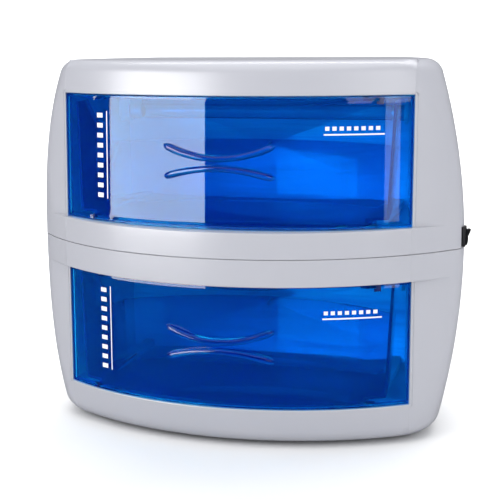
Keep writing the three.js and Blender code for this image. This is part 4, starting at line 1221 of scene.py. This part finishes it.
def softbox(name, middle, target, width, height, power):
    data = bpy.data.lights.new(name, "AREA")
    data.shape = "RECTANGLE"
    data.size = width
    data.size_y = height
    data.energy = power
    lamp = bpy.data.objects.new(name, data)
    bpy.context.scene.collection.objects.link(lamp)
    lamp.location = middle
    lamp.rotation_euler = (Vector(target) - Vector(middle)).to_track_quat("-Z", "Y").to_euler()
    return lamp


# Middle, aim, width, height and power. The two cards don't light matt surfaces.
CARDS = {
    "left_card": ((-0.827, -0.916, 0.57), (-0.06, -0.11, 0.57), 0.99, 1.06, 26),
    "right_card": ((1.117, -0.792, 0.60), (0.155, -0.075, 0.60), 0.147, 1.1, 1.1),
}
SOFTBOXES = {
    "left_softbox": ((-1.3, -1.4, 1.2), (0, 0, 0.2), 1.2, 1.2, 14),
    "right_softbox": ((1.6, -1.3, 1.0), (0, 0, 0.2), 1.2, 1.2, 10),
    "top_softbox": ((0.0, -0.35, 1.9), (0.0, 0.0, 0.2), 1.8, 1.6, 11),
    "backdrop_softbox": ((0.0, 0.9, 2.4), (0.0, 2.6, 0.6), 3.0, 0.6, 90),
}
# Colour and strength of the room: in general, to a reflected ray, and to the camera.
ROOM = (((0.95, 0.97, 1), 0.66), ((0.9, 0.94, 1), 0.02), ((1, 1, 1), 1.0))


def build_lights():
    for name, sizes in CARDS.items():
        softbox(name, *sizes).visible_diffuse = False
    for name, sizes in SOFTBOXES.items():
        softbox(name, *sizes)


def build_room():
    """An even pale room, dim to reflections unless they have come out through the blue plastic."""
    world = bpy.data.worlds.new("studio")
    bpy.context.scene.world = world
    world.use_nodes = True
    tree = world.node_tree
    tree.nodes.clear()
    path = tree.nodes.new("ShaderNodeLightPath")
    out = tree.nodes.new("ShaderNodeOutputWorld")
    levels = []
    for colour, strength in ROOM:
        level = tree.nodes.new("ShaderNodeBackground")
        level.inputs["Color"].default_value = (*colour, 1)
        level.inputs["Strength"].default_value = strength
        levels.append(level.outputs["Background"])
    inside = tree.nodes.new("ShaderNodeMath")
    inside.operation = "SUBTRACT"
    inside.use_clamp = True
    tree.links.new(path.outputs["Is Glossy Ray"], inside.inputs[0])
    tree.links.new(path.outputs["Is Transmission Ray"], inside.inputs[1])
    shine = tree.nodes.new("ShaderNodeMixShader")
    tree.links.new(inside.outputs["Value"], shine.inputs["Fac"])
    tree.links.new(levels[0], shine.inputs[1])
    tree.links.new(levels[1], shine.inputs[2])
    seen = tree.nodes.new("ShaderNodeMixShader")
    tree.links.new(path.outputs["Is Camera Ray"], seen.inputs["Fac"])
    tree.links.new(shine.outputs["Shader"], seen.inputs[1])
    tree.links.new(levels[2], seen.inputs[2])
    tree.links.new(seen.outputs["Shader"], out.inputs["Surface"])


LENS, SENSOR = 84.6, 36
CAMERA_PLACE = (0.3089, -1.1472, 0.3827)
CAMERA_TURNS = (-15.12, -10.08, -0.34)


def build_camera():
    """The camera, from its place and its turn about Z, its tilt and its roll."""
    data = bpy.data.cameras.new("camera")
    data.lens = LENS
    data.sensor_width = SENSOR
    data.clip_start, data.clip_end = 0.05, 50
    camera = bpy.data.objects.new("camera", data)
    bpy.context.scene.collection.objects.link(camera)
    yaw, pitch, roll = (math.radians(a) for a in CAMERA_TURNS)
    ahead = Vector(
        (math.sin(yaw) * math.cos(pitch), math.cos(yaw) * math.cos(pitch), math.sin(pitch))
    )
    level = Vector((math.cos(yaw), -math.sin(yaw), 0))
    up = level.cross(ahead)
    right = level * math.cos(roll) + up * math.sin(roll)
    up = right.cross(ahead)
    turn = Matrix((right, up, -ahead)).transposed().to_4x4()
    camera.matrix_world = Matrix.Translation(CAMERA_PLACE) @ turn
    bpy.context.scene.camera = camera
    bpy.context.scene.view_settings.view_transform = "Standard"


build_camera()
build_lights()
build_room()
build_stage()
build_housings()
build_fronts()
build_bins()
build_prints()
build_rear_cover()
build_screws()
build_feet()
build_inlet()
build_switch()
build_lamps()
build_inner_works()
